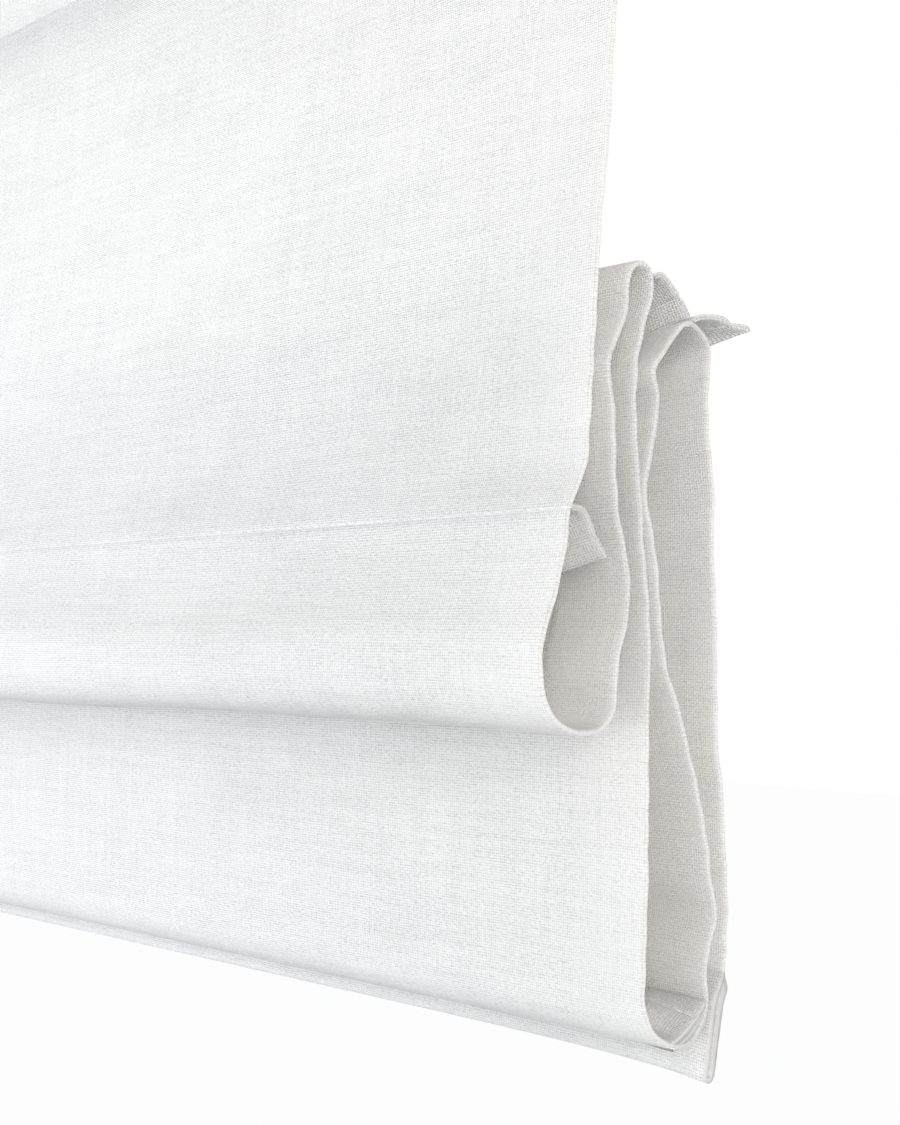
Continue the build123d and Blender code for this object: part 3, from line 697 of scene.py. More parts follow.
@dataclass
class FoldedCloth:
    """The whole sheet: its fold line, thickness, side hems and small unevenness."""

    finish: bpy.types.Material
    width: float = 600.0
    thickness: float = 0.6
    side_hem: float = 20.0
    hem_front_lift: float = 0.05
    hem_back_lift: float = 0.75
    row_step: float = 1.5
    column_step: float = 4.0
    edge_step: float = 0.8
    edge_fine: float = 24.0
    crease_depth: float = 0.10
    crease_width: float = 0.7
    calm_reach: float = 13.0
    seam_thread_sunk: float = 0.13
    loop_rise: float = 2.4
    view: SideView = field(default_factory=SideView)
    stitch_rows: dict[Body, list[np.ndarray]] = field(default_factory=dict)

    def __post_init__(self) -> None:
        """Works out the fold line and the columns once."""
        points, self.spans = self.view.points()
        samples, places = curve_through(points, self.row_step)
        self.line, self.places = self._finer_seams(*self._evened(samples, places))
        steps = np.linalg.norm(np.diff(self.line, axis=0), axis=1)
        self.run = np.concatenate([[0.0], np.cumsum(steps)])
        self.columns = self._columns()

    def _evened(self, samples: np.ndarray, places: np.ndarray) -> tuple[np.ndarray, np.ndarray]:
        """Takes small kinks out of the fold line with a short running mean."""
        smooth = samples.copy()
        for _ in range(2):
            smooth[1:-1] = 0.25 * smooth[:-2] + 0.5 * smooth[1:-1] + 0.25 * smooth[2:]
        return smooth, places

    def seam_places(self) -> dict[Body, list[float]]:
        """Point numbers at which a rod pocket is sewn to the cloth, by the body of its rod."""
        front = self.spans[Stretch.FRONT][0] + FRONT_ROD_POINT
        return {
            Body.FIXED: [self.spans[Stretch.TOP][1]],
            Body.UPPER: [self.spans[Stretch.MIDDLE][1], front],
            Body.MIDDLE: [self.spans[Stretch.FIRST_RISE][1] + 0.6, self.spans[Stretch.SECOND_FALL][1] - 0.2],
            Body.LOWER: [self.spans[Stretch.SECOND_RISE][1]],
        }

    def _finer_seams(self, line: np.ndarray, places: np.ndarray) -> tuple[np.ndarray, np.ndarray]:
        """Adds rows close to each seam, where the cloth is pinched."""
        steps = np.linalg.norm(np.diff(line, axis=0), axis=1)
        run = np.concatenate([[0.0], np.cumsum(steps)])
        extra = []
        for numbers in self.seam_places().values():
            for number in numbers:
                middle = float(np.interp(number, places, run))
                extra += [middle + shift for shift in np.arange(-3.0, 3.01, 0.4)]
        every = np.unique(np.round(np.concatenate([run, np.clip(extra, 0, run[-1])]), 3))
        keep = np.concatenate([[True], np.diff(every) > 0.12])
        every = every[keep]
        every[-1] = run[-1]
        finer = np.stack([np.interp(every, run, line[:, i]) for i in range(2)], axis=1)
        numbers = np.interp(every, run, places)
        for _, last in self.spans.values():
            numbers[np.argmin(np.abs(numbers - last))] = last
        return finer, numbers

    def crease(self, run: np.ndarray) -> np.ndarray:
        """How deep the front is pinched by the seams, 0 to 1."""
        total = np.zeros_like(run)
        for numbers in self.seam_places().values():
            for number in numbers:
                total = total + np.exp(-((run - self.run_at(number)) / self.crease_width) ** 2)
        return total

    def _columns(self) -> np.ndarray:
        """Places of the columns across the cloth, finer at the hems."""
        half = self.width / 2
        radius = self.thickness
        round_edge = half - radius * (1 - np.cos(np.linspace(0, math.pi / 2, 5)))[::-1][:-1]
        fine = np.arange(half - self.edge_fine, half - radius - 0.2, self.edge_step)
        inner = np.linspace(0, half - self.edge_fine, int((half - self.edge_fine) / self.column_step), endpoint=False)
        right = np.concatenate([inner, fine, np.sort(round_edge), [half]])
        right = np.unique(np.round(right, 4))
        return np.concatenate([-right[:0:-1], right])

    def hem_share(self, across: np.ndarray) -> np.ndarray:
        """How far a place across the cloth is in a side hem, 0 to 1."""
        return smoothstep(np.abs(across), self.width / 2 - self.side_hem - 0.7, self.width / 2 - self.side_hem + 0.5)

    def surface(self) -> tuple[np.ndarray, np.ndarray]:
        """Middle surface of the cloth and its normals towards the back.

        Returns:
            Places (rows, columns, 3) and unit normals (rows, columns, 3), in millimetres.
        """
        tangent = np.gradient(self.line, axis=0)
        tangent /= np.linalg.norm(tangent, axis=1)[:, None]
        back = np.stack([-tangent[:, 1], tangent[:, 0]], axis=1)
        x = self.columns[None, :]
        s = self.run[:, None]
        heights = self.line[:, 1][:, None]
        from_edge = self.width / 2 - np.abs(x)
        in_fold = smoothstep(-heights, 380.0, 540.0)
        broad = Ripples(11, 150.0, 110.0).height(x, s) * (0.25 + 0.35 * in_fold)
        fine = Ripples(23, 42.0, 36.0).height(x, s) * 0.10
        bulge = (broad + fine) * self.rod_hold(s) * smoothstep(from_edge, 0.0, 55.0)
        middle = np.zeros((len(self.line), len(self.columns), 3))
        wander = 0.16 * Ripples(5, 90.0, 9.0).height(x, s) + 0.25 * Ripples(6, 90.0, 45.0).height(x, s)
        middle[..., 0] = x + np.sign(x) * wander * smoothstep(np.abs(x), self.width / 2 - 12.0, self.width / 2)
        inside = smoothstep(from_edge, 3.0, 60.0)
        depth = self.line[:, 0][:, None] * (1 - inside) + self.calm_depth()[:, None] * inside
        middle[..., 1] = CLOTH_FRONT_PLANE + depth + back[:, 0][:, None] * bulge
        middle[..., 2] = heights + back[:, 1][:, None] * bulge
        middle[..., 2] += self.fold_rise(s, from_edge)
        along = np.gradient(middle, self.run, axis=0)
        across = np.gradient(middle, self.columns, axis=1)
        normal = np.cross(across, along)
        normal /= np.linalg.norm(normal, axis=2)[..., None]
        return middle, normal

    def calm_depth(self) -> np.ndarray:
        """Depth of the fold line away from the side edges, where the two room-side faces hang smoother."""
        height = self.line[:, 1] - STACK_LEVEL
        low, middle, high = (self.spans[stretch][1] for stretch in (Stretch.MIDDLE, Stretch.FRONT, Stretch.FIRST_RISE))
        face = (self.places > low) & (self.places < middle) & (height > -20.0)
        share = face * smoothstep(height, -20.0, -8.0) * (1 - smoothstep(height, 60.0, 90.0))
        panel = (self.places > high) & (self.places < self.spans[Stretch.SECOND_FALL][1])
        share = share + panel * smoothstep(height, -104.0, -90.0) * (1 - smoothstep(height, 5.0, 25.0))
        wide = np.exp(-((self.run[:, None] - self.run[None, :]) / self.calm_reach) ** 2)
        smooth = wide @ self.line[:, 0] / wide.sum(axis=1)
        return self.line[:, 0] * (1 - share) + smooth * share

    def _facing(self, skin: np.ndarray) -> np.ndarray:
        """Unit directions across a skin, towards the back."""
        along = np.gradient(skin, self.run, axis=0)
        across = np.gradient(skin, self.columns, axis=1)
        across[:, :3] = across[:, 3:4]
        across[:, -3:] = across[:, -4:-3]
        normal = np.cross(across, along)
        return normal / np.linalg.norm(normal, axis=2)[..., None]

    def rod_hold(self, run: np.ndarray) -> np.ndarray:
        """Falls to nothing at each rod and at the top edge, where the cloth is held straight."""
        hold = smoothstep(run, 22.0, 60.0)
        for stretch in (Stretch.TOP, Stretch.MIDDLE, Stretch.FIRST_RISE, Stretch.SECOND_FALL, Stretch.SECOND_RISE):
            hold = hold * (1 - np.exp(-((run - self.run_at(self.spans[stretch][1])) / 14.0) ** 2))
        front_rod = self.run_at(self.spans[Stretch.FRONT][0] + FRONT_ROD_POINT)
        hold = hold * (1 - np.exp(-((run - front_rod) / 12.0) ** 2))
        return hold * (1 - smoothstep(run, self.run[-1] - 26.0, self.run[-1] - 4.0))

    def run_at(self, place: float) -> float:
        """Length along the cloth at a fractional point number."""
        return float(np.interp(place, self.places, self.run))

    def fold_rise(self, run: np.ndarray, from_edge: np.ndarray) -> np.ndarray:
        """The first loop hangs a little higher away from the side edges."""
        bottom = self.run_at(self.spans[Stretch.FRONT][1])
        near = np.exp(-((run - bottom) / 30.0) ** 2)
        return self.loop_rise * near * (1 - np.exp(-from_edge / 110.0))

    def build(self) -> list[ClothPiece]:
        """Builds every stretch of the cloth.

        Returns:
            The pieces, from the top down.
        """
        middle, normal = self.surface()
        x = self.columns[None, :]
        share = self.hem_share(self.columns)[None, :]
        half = self.thickness / 2
        puckers = 1 + 0.5 * Ripples(31, 5.0, 60.0).height(x, self.run[:, None])
        dent = self.crease_depth * self.crease(self.run)[:, None] * puckers
        front = dent - (half + self.hem_front_lift * share)
        back = half + self.hem_back_lift * share
        centre = (front + back) / 2
        radius = (back - front) / 2
        reach = np.clip(1 - (self.width / 2 - np.abs(x)) / self.thickness, 0, 1)
        radius = radius * np.sqrt(np.clip(1 - reach ** 2, 0, 1))
        skins = {
            -1: middle + normal * (centre - radius)[..., None],
            1: middle + normal * (centre + radius)[..., None],
        }
        round_normal = np.zeros_like(normal)
        round_normal[..., 0] = np.sign(x) * reach
        pieces = []
        flat = np.sqrt(np.clip(1 - reach ** 2, 0, 1))[..., None]
        facing = {side: self._facing(skins[side]) for side in (-1, 1)}
        for stretch, (first, last) in self.spans.items():
            rows = np.flatnonzero((self.places >= first - 1e-6) & (self.places <= last + 1e-6))
            normals = {side: side * facing[side][rows] * flat + round_normal[rows] for side in (-1, 1)}
            made = self._slab(stretch, {side: skin[rows] for side, skin in skins.items()}, normals, rows)
            pieces.append(ClothPiece(stretch, made, (self.run[rows[-1]] - self.run[rows[0]]) * MM))
        for body, numbers in self.seam_places().items():
            for number in numbers:
                row = int(np.argmin(np.abs(self.places - number)))
                line = skins[-1][row] + normal[row] * self.seam_thread_sunk
                self.stitch_rows.setdefault(body, []).append(line[4:-4])
        return pieces

    def _slab(self, stretch: Stretch, skins: dict[int, np.ndarray], normals: dict[int, np.ndarray],
              rows: np.ndarray) -> bpy.types.Object:
        """Closed slab between a front and a back skin.

        Args:
            stretch: Which stretch it is.
            skins: Front (-1) and back (1) places, (rows, columns, 3), in millimetres.
            normals: Outward normals of both.
            rows: Row numbers in the whole sheet.

        Returns:
            The piece.
        """
        count, wide = skins[-1].shape[:2]
        front = np.arange(count * wide).reshape(count, wide)
        back = front + count * wide
        back[:, 0] = front[:, 0]
        back[:, -1] = front[:, -1]
        vertices = np.concatenate([skins[-1].reshape(-1, 3), skins[1].reshape(-1, 3)]) * MM
        kept = np.concatenate([normals[-1].reshape(-1, 3), normals[1].reshape(-1, 3)])
        kept /= np.maximum(np.linalg.norm(kept, axis=1), 1e-9)[:, None]
        flat = np.stack(np.broadcast_arrays(self.columns[None, :] * MM, self.run[rows][:, None] * MM), axis=-1)
        flat = flat.reshape(-1, 2)
        hem = np.broadcast_to(self.hem_share(self.columns)[None, :], (count, wide)).reshape(-1)
        front_quads = np.stack([front[:-1, :-1], front[1:, :-1], front[1:, 1:], front[:-1, 1:]], axis=-1).reshape(-1, 4)
        back_quads = np.stack([back[:-1, :-1], back[:-1, 1:], back[1:, 1:], back[1:, :-1]], axis=-1).reshape(-1, 4)
        caps, corners = [], []
        for r, turned in ((0, False), (-1, True)):
            quads = np.stack([front[r, :-1], front[r, 1:], back[r, 1:], back[r, :-1]], axis=-1)
            ends = np.array([[quads[0][0], quads[0][1], quads[0][2]], [quads[-1][0], quads[-1][1], quads[-1][3]]])
            caps.append(quads[1:-1, ::-1] if turned else quads[1:-1])
            corners.append(ends[:, ::-1] if turned else ends)
        groups = [front_quads, back_quads, np.concatenate(caps), np.concatenate(corners)]
        used = np.unique(np.concatenate([group.ravel() for group in groups]))
        renumber = np.full(len(vertices), -1)
        renumber[used] = np.arange(len(used))
        groups = [renumber[group] for group in groups]
        uv = np.concatenate([flat, flat])[used]
        return mesh_object(stretch.value, vertices[used], groups, self.finish, uv, np.concatenate([hem, hem])[used],
                           kept[used], flat_groups=(2, 3))


# ---------------------------------------------------------------- hollow sewn pieces


def hash_of(text: str) -> int:
    """Small fixed number from a name, the same in every run."""
    return sum((i + 1) * ord(letter) for i, letter in enumerate(text)) % 9973


@dataclass
class OpenTube:
    """Hollow piece that runs across the blind and is open at both ends, from an outer and an inner ring."""

    name: str
    outer: np.ndarray
    inner: np.ndarray
    outer_flat: np.ndarray
    inner_flat: np.ndarray
    hem: float = 0.5

    def faces(self) -> np.ndarray:
        """Quads of both walls and of the two end rims.

        Returns:
            Corner numbers (faces, 4), outer vertices first.
        """
        count, wide = self.outer.shape[:2]
        out = np.arange(count * wide).reshape(count, wide)
        out = np.concatenate([out, out[:, :1]], axis=1)
        inn = out + count * wide
        quads = [
            np.stack([out[:-1, :-1], out[1:, :-1], out[1:, 1:], out[:-1, 1:]], axis=-1),
            np.stack([inn[:-1, :-1], inn[:-1, 1:], inn[1:, 1:], inn[1:, :-1]], axis=-1),
            np.stack([out[0, :-1], out[0, 1:], inn[0, 1:], inn[0, :-1]], axis=-1),
            np.stack([out[-1, 1:], out[-1, :-1], inn[-1, :-1], inn[-1, 1:]], axis=-1),
        ]
        return np.concatenate([group.reshape(-1, 4) for group in quads])

    def build(self, material: bpy.types.Material) -> bpy.types.Object:
        """Makes the piece.

        Args:
            material: Its finish.

        Returns:
            The piece.
        """
        vertices = np.concatenate([self.outer.reshape(-1, 3), self.inner.reshape(-1, 3)]) * MM
        faces = outward(vertices, self.faces())
        uv = np.concatenate([self.outer_flat.reshape(-1, 2), self.inner_flat.reshape(-1, 2)]) * MM
        return mesh_object(self.name, vertices, [faces], material, uv, np.full(len(vertices), self.hem))


def outward(vertices: np.ndarray, faces: np.ndarray) -> np.ndarray:
    """Turns all faces round if the closed mesh is inside out.

    Args:
        vertices: Places of the vertices.
        faces: Quads.

    Returns:
        The quads, pointing outwards.
    """
    a, b, c, d = (vertices[faces[:, i]] for i in range(4))
    volume = np.sum(a * np.cross(b, c)) + np.sum(a * np.cross(c, d))
    return faces if volume > 0 else faces[:, ::-1]


def blind_columns(half: float, fine_from: float, fine: float, coarse: float) -> np.ndarray:
    """Places across the blind, finer near both ends.

    Args:
        half: Half of the width.
        fine_from: Distance from the end at which the fine spacing begins.
        fine: Fine spacing.
        coarse: Coarse spacing.

    Returns:
        The places, from left to right.
    """
    near = np.linspace(half - fine_from, half, int(fine_from / fine) + 1)
    inner = np.linspace(0, half - fine_from, int((half - fine_from) / coarse), endpoint=False)
    right = np.concatenate([inner, near])
    return np.concatenate([-right[:0:-1], right])


@dataclass(frozen=True)
class PocketShape:
    """One rod pocket: where it leaves the cloth, how it stands, and the line of its open end.

    The end line's points are (outwards past the cloth's edge, depth, height), from the seam.
    """

    name: str
    body: Body
    seam: tuple[float, float]
    angle: float
    rod_distance: float
    free_angle: float
    end_line: tuple[tuple[float, float, float], ...]
    reach: float = 12.0
    curl: float = 1.0
    mouth: float = 0.02
    thick: float = 0.62


def pocket_shapes() -> list[PocketShape]:
    """The six pockets, from the top down."""
    level = STACK_LEVEL
    hanging = ((0.0, 0.0, 0.0), (0.0, 3.4, -3.4), (0.2, 6.2, -8.2), (0.4, 7.8, -13.9))
    return [
        PocketShape("rod_pocket_1", Body.FIXED, (0.0, ROD_HEIGHTS["rod_1"]), -55.0, 6.4, -72.0, hanging),
        PocketShape("rod_pocket_2", Body.UPPER, (0.0, ROD_HEIGHTS["rod_2"]), -55.0, 6.4, -72.0, hanging),
        PocketShape("rod_pocket_3", Body.UPPER, (-24.9, level), -38.0, 4.6, -60.0,
                    ((0.0, 0.0, 0.0), (0.1, 2.6, 0.2), (0.2, 5.0, -0.5), (0.3, 8.4, -5.4), (0.5, 11.8, -9.6)), 11.0),
        PocketShape("rod_pocket_4", Body.MIDDLE, (5.0, level + 53.2), -20.0, 5.0, -78.0,
                    ((0.0, 0.2, 0.2), (0.2, 3.4, 1.1), (0.3, 5.2, 0.3), (0.5, 10.0, -3.2), (0.8, 13.0, -6.8)), 12.5),
        PocketShape("rod_pocket_5", Body.MIDDLE, (10.0, level - 116.7), 40.0, 6.0, 17.0,
                    ((0.0, 0.0, 0.0), (0.0, 4.4, 1.2), (0.0, 8.0, 2.8), (0.0, 11.4, 4.9), (0.0, 14.4, 7.4)), 12.0, 1.0,
                    0.42, 1.2),
        PocketShape("rod_pocket_6", Body.LOWER, (20.5, level + 45.3), 12.0, 7.6, -74.0,
                    ((0.0, 0.0, 0.2), (0.4, 2.2, 1.5), (1.3, 6.0, 2.2), (2.4, 9.6, 2.0), (3.2, 11.6, 0.9),
                     (4.6, 15.2, 0.6), (5.0, 16.2, 0.1)), 10.5, 1.25),
    ]


@dataclass
class RodPockets:
    """Rod pockets as open tubes of two sewn layers, with the lines of their stitches."""

    cloth: bpy.types.Material
    width: float = 600.0
    depth: float = 16.5
    stitch_line: float = 11.5
    layer: float = 0.6
    rod_radius: float = 2.0
    tip_wall: float = 0.5
    room: float = 0.3
    rod_inset: float = 14.0
    seam_start: float = 0.8
    stitch_rows: dict[Body, list[np.ndarray]] = field(default_factory=dict)

    def half_thickness(self, along: np.ndarray, shape: PocketShape, radius: float, flat: float) -> np.ndarray:
        """Half thickness of a tube round the rod that runs out flat at the seam and at the stitch line.

        Args:
            along: Distances from the seam.
            shape: The pocket.
            radius: Radius at the rod.
            flat: Half thickness where it is flat.

        Returns:
            The half thickness at each distance.
        """
        rod = shape.rod_distance
        circle = np.sqrt(np.clip(radius ** 2 - (along - rod) ** 2, 0, None))
        before = flat + (radius * 0.96 - flat) * np.clip(along / rod, 0, 1) ** 0.9
        left = np.clip((self.stitch_line - along) / (self.stitch_line - rod), 0, 1)
        after = flat + (radius * 0.96 - flat) * left ** 0.9
        return np.maximum(np.maximum(circle, np.where(along < rod, before, after)), flat)

    def inner_line(self, shape: PocketShape, steps: np.ndarray) -> np.ndarray:
        """Middle line of the pocket away from its ends: straight to the rod, then bending to the free angle.

        Args:
            shape: The pocket.
            steps: Distances from the seam.

        Returns:
            Places (steps, 3) from the seam, with nothing across the blind.
        """
        fine = np.linspace(0, self.depth + 2, 400)
        angles = shape.angle + (shape.free_angle - shape.angle) * smoothstep(fine, shape.rod_distance + 0.5,
                                                                            shape.rod_distance + 6.0)
        step = fine[1] - fine[0]
        depth = np.concatenate([[0], np.cumsum(np.cos(np.radians(angles[:-1])) * step)])
        height = np.concatenate([[0], np.cumsum(np.sin(np.radians(angles[:-1])) * step)])
        return np.stack([0 * steps, np.interp(steps, fine, depth), np.interp(steps, fine, height)], axis=1)

    def end_line(self, shape: PocketShape, steps: np.ndarray) -> np.ndarray:
        """Middle line of the pocket at its open end, sampled at the same distances."""
        curve, _ = curve_through(np.array(shape.end_line, float), 0.25)
        run = np.concatenate([[0], np.cumsum(np.linalg.norm(np.diff(curve, axis=0), axis=1))])
        at = steps / self.depth * run[-1]
        return np.stack([np.interp(at, run, curve[:, i]) for i in range(3)], axis=1)

    def lines(self, shape: PocketShape, steps: np.ndarray, x: np.ndarray) -> np.ndarray:
        """Middle lines of the pocket across the whole blind.

        Args:
            shape: The pocket.
            steps: Distances from the seam.
            x: Places across the blind.

        Returns:
            Places (x, steps, 3), in millimetres.
        """
        inner = self.inner_line(shape, steps)
        end = self.end_line(shape, steps)
        from_end = self.width / 2 - np.abs(x)
        plain = np.clip(1 - from_end / shape.reach, 0, 1)
        bent = (0.5 * plain + 0.5 * smoothstep(plain, 0.0, 1.0)) ** shape.curl
        lines = inner[None] * (1 - bent[:, None, None]) + end[None] * bent[:, None, None]
        lines[..., 0] = x[:, None] + np.sign(x)[:, None] * lines[..., 0]
        lines[..., 1] += CLOTH_FRONT_PLANE + shape.seam[0]
        lines[..., 2] += shape.seam[1]
        free = smoothstep(steps, self.stitch_line - 4.0, self.depth)[None, :]
        held = smoothstep(from_end, 4.0, 30.0)[:, None]
        wave = Ripples(hash_of(shape.name), 55.0, 40.0).height(x[:, None], steps[None, :])
        lines[..., 2] += wave * free * held * 0.7
        return lines

    def walls(self, shape: PocketShape, steps: np.ndarray, x: np.ndarray, outside: bool) -> np.ndarray:
        """Half thickness of the pocket or of its hollow.

        Args:
            shape: The pocket.
            steps: Distances from the seam.
            x: Places across the blind.
            outside: Whether the outside is asked for.

        Returns:
            Half thickness (x, steps).
        """
        from_end = (self.width / 2 - np.abs(x))[:, None]
        radius = self.rod_radius + self.tip_wall + self.room + (self.layer if outside else 0.0)
        flat = self.layer if outside else 0.02
        end_flat = shape.thick if outside else 0.02
        tube = self.half_thickness(steps, shape, radius, flat)[None, :]
        tight = 1 - smoothstep(from_end, 1.5, self.rod_inset - 1.0)
        slit = shape.mouth * np.sin(np.pi * np.clip(steps / self.depth, 0.0, 1.0))[None, :] ** 0.6
        ends = end_flat + (slit if not outside else 0.0)
        half = tube * (1 - tight) + ends * tight
        if outside:
            near_stitch = (steps - self.stitch_line)[None, :]
            puckers = Ripples(hash_of(shape.name) + 5, 7.0, 30.0).height(x[:, None], steps[None, :])
            half = half + 0.09 * puckers * np.exp(-(near_stitch / 2.4) ** 2)
            half = half - 0.36 * np.exp(-(near_stitch / 0.6) ** 2)
        return half

    def build(self, shape: PocketShape) -> bpy.types.Object:
        """Builds one pocket and keeps the lines of its stitches.

        Args:
            shape: Its shape.

        Returns:
            The piece.
        """
        x = blind_columns(self.width / 2, 34.0, 0.9, 5.0)
        steps = np.unique(np.round(np.concatenate([
            np.linspace(self.seam_start, self.stitch_line - 1.5, 17),
            np.linspace(self.stitch_line - 1.5, self.stitch_line + 1.5, 9),
            np.linspace(self.stitch_line + 1.5, self.depth, 5)]), 4))
        lines = self.lines(shape, steps, x)
        normal = self._across(lines)
        outer = self._ring(lines, normal, self.walls(shape, steps, x, True), 0.12, self.layer * 0.7)
        inside = self.seam_start + 0.3 + (steps - self.seam_start) * (self.depth - 0.7 - self.seam_start) / (
            self.depth - self.seam_start)
        hollow = self.lines(shape, inside, x)
        inner = self._ring(hollow, self._across(hollow), self.walls(shape, inside, x, False), 0.05, 0.05)
        start = 0.011 * hash_of(shape.name) + 40.0
        run = np.concatenate([steps, [self.depth + 0.6], 2 * self.depth + 1.2 - steps[::-1], [-0.1]]) + start
        flat = np.stack(np.broadcast_arrays(x[:, None], run[None, :]), axis=-1)
        rows = self.stitch_rows.setdefault(shape.body, [])
        at = int(np.argmin(np.abs(steps - self.stitch_line)))
        thick = self.walls(shape, steps, x, True)[:, at]
        inset = slice(2, -2)
        for side in (-1, 1):
            rows.append((lines[:, at] + side * normal[:, at] * (thick + 0.04)[:, None])[inset])
        return OpenTube(shape.name, outer, inner, flat, flat).build(self.cloth)

    def _across(self, lines: np.ndarray) -> np.ndarray:
        """Unit directions across the layers."""
        along = np.gradient(lines, axis=1)
        normal = np.cross(np.broadcast_to(np.array([1.0, 0.0, 0.0]), along.shape), along)
        return normal / np.linalg.norm(normal, axis=2)[..., None]

    def _ring(self, lines: np.ndarray, normal: np.ndarray, half: np.ndarray, root: float, tip: float) -> np.ndarray:
        """Ring of places round a pocket's middle line.

        Args:
            lines: Middle line places.
            normal: Directions across the layers.
            half: Half thickness.
            root: How far the ring runs on before the first place.
            tip: How far it runs on after the last place.

        Returns:
            Places (x, ring, 3).
        """
        last = lines[:, -1] - lines[:, -2]
        last = lines[:, -1] + last / np.linalg.norm(last, axis=1)[:, None] * tip
        first = lines[:, 0] - lines[:, 1]
        first = lines[:, 0] + first / np.linalg.norm(first, axis=1)[:, None] * root
        above = lines + normal * half[..., None]
        below = (lines - normal * half[..., None])[:, ::-1]
        return np.concatenate([above, last[:, None], below, first[:, None]], axis=1)


@dataclass
class BottomHem:
    """Hem round the weight bar: a flat tube, thick and open at its ends, whose corners droop past the bar."""

    cloth: bpy.types.Material
    run_start: float
    width: float = 600.0
    bar_centre: tuple[float, float] = (29.55, STACK_LEVEL - 115.75)
    lean: float = 14.0
    top: float = -12.6
    half_room: float = 1.3
    wall: float = 0.6
    side_hem: float = 20.0
    corner_droop: float = 2.4
    bottom: float = 10.0
    end_forward: float = 2.3
    side_hem_thicker: float = 0.3
    end_thicker: float = 0.15

    def places(self, along: np.ndarray, across: np.ndarray, x: np.ndarray) -> np.ndarray:
        """Turns distances along and across the bar into places.

        Args:
            along: Distances down the bar, (x, ring).
            across: Distances behind it, (x, ring).
            x: Places across the blind, (x).

        Returns:
            Places (x, ring, 3).
        """
        lean = math.radians(self.lean)
        down = np.array([-math.sin(lean), -math.cos(lean)])
        back = np.array([math.cos(lean), -math.sin(lean)])
        depth = self.bar_centre[0] + along * down[0] + across * back[0]
        height = self.bar_centre[1] + along * down[1] + across * back[1]
        wide = np.broadcast_to(x[:, None], along.shape)
        return np.stack([wide, CLOTH_FRONT_PLANE + depth, height], axis=-1)

    def ring(self, x: np.ndarray, outside: bool) -> tuple[np.ndarray, np.ndarray]:
        """Outer wall, or the wall of the hollow.

        Args:
            x: Places across the blind.
            outside: Whether the outer wall is asked for.

        Returns:
            Places (x, ring, 3) and run lengths (ring).
        """
        from_end = (self.width / 2 - np.abs(x))[:, None]
        share = 1 - smoothstep(from_end, self.side_hem - 0.5, self.side_hem + 0.7)
        end = 1 - smoothstep(from_end, 0.0, self.side_hem - 4.0)
        bottom = self.bottom + self.corner_droop * np.exp(-from_end / 24.0)
        if outside:
            half = self.half_room + self.wall + self.side_hem_thicker * share + self.end_thicker * end
            low = bottom
        else:
            half = self.half_room * (1 - end) + 0.22 * end
            low = bottom - self.wall - 0.9 * end
        t = np.linspace(0, 1, 30)[None, :]
        high = self.top if outside else self.top + 2.2
        down_front = high + (low - half - high) * t
        lead = smoothstep(down_front, high, high + 7.0)
        front_start = -(self.half_room + self.wall + 0.04)
        if outside:
            front = front_start + (-half - front_start) * lead
            back_half = -1.0 + (half + 1.0) * smoothstep(down_front, high - 0.2, high + 4.6)
            closing = np.clip((down_front - high) / 0.8, 0, 1) ** 0.5
            middle_top = front_start + 0.8
            back_half = middle_top + (back_half - middle_top) * closing
            front = middle_top + (front - middle_top) * np.clip((down_front - high) / 0.25 + 0.3, 0, 1)
        else:
            taper = smoothstep(down_front, high, high + 2.5)
            front = -half * taper - 0.6 * (1 - taper)
            back_half = half * taper - 0.5 * (1 - taper)
        turn = np.linspace(0, math.pi, 11)[None, 1:-1]
        under_along = (low - half) + half * np.sin(turn)
        under_across = -half * np.cos(turn)
        along = np.concatenate([down_front, under_along, down_front[:, ::-1]], axis=1)
        across = np.concatenate([front, under_across, back_half[:, ::-1]], axis=1)
        across = across - self.end_forward * end ** 1.5 * smoothstep(along, self.top, self.top + 8.0)
        if outside:
            bumps = Ripples(77, 26.0, 18.0).height(x[:, None], np.arange(along.shape[1])[None, :] * 0.9)
            across = across + bumps * 0.10 * smoothstep(along, self.top + 1.5, self.top + 5.0)
        places = self.places(along, across, x)
        centre = places[len(x) // 2]
        run = np.concatenate([[0], np.cumsum(np.linalg.norm(np.diff(centre[:, 1:], axis=0), axis=1))])
        return places, run + self.run_start - 1.2

    def build(self) -> tuple[bpy.types.Object, list[np.ndarray]]:
        """Builds the hem.

        Returns:
            The piece, and the lines of its stitches in front and behind.
        """
        x = blind_columns(self.width / 2, 26.0, 0.8, 4.0)
        outer, run = self.ring(x, True)
        inner, inner_run = self.ring(x, False)
        flat = np.stack(np.broadcast_arrays(x[:, None], run[None, :]), axis=-1)
        inner_flat = np.stack(np.broadcast_arrays(x[:, None], inner_run[None, :]), axis=-1)
        shape = OpenTube("bottom_hem", outer, inner, flat, inner_flat)
        rows = []
        for place, shift in ((3, -0.06), (outer.shape[1] - 5, 0.06)):
            row = outer[:, place].copy()
            row[:, 1] += shift
            rows.append(row[3:-3])
        return shape.build(self.cloth), rows


# ---------------------------------------------------------------- stitches


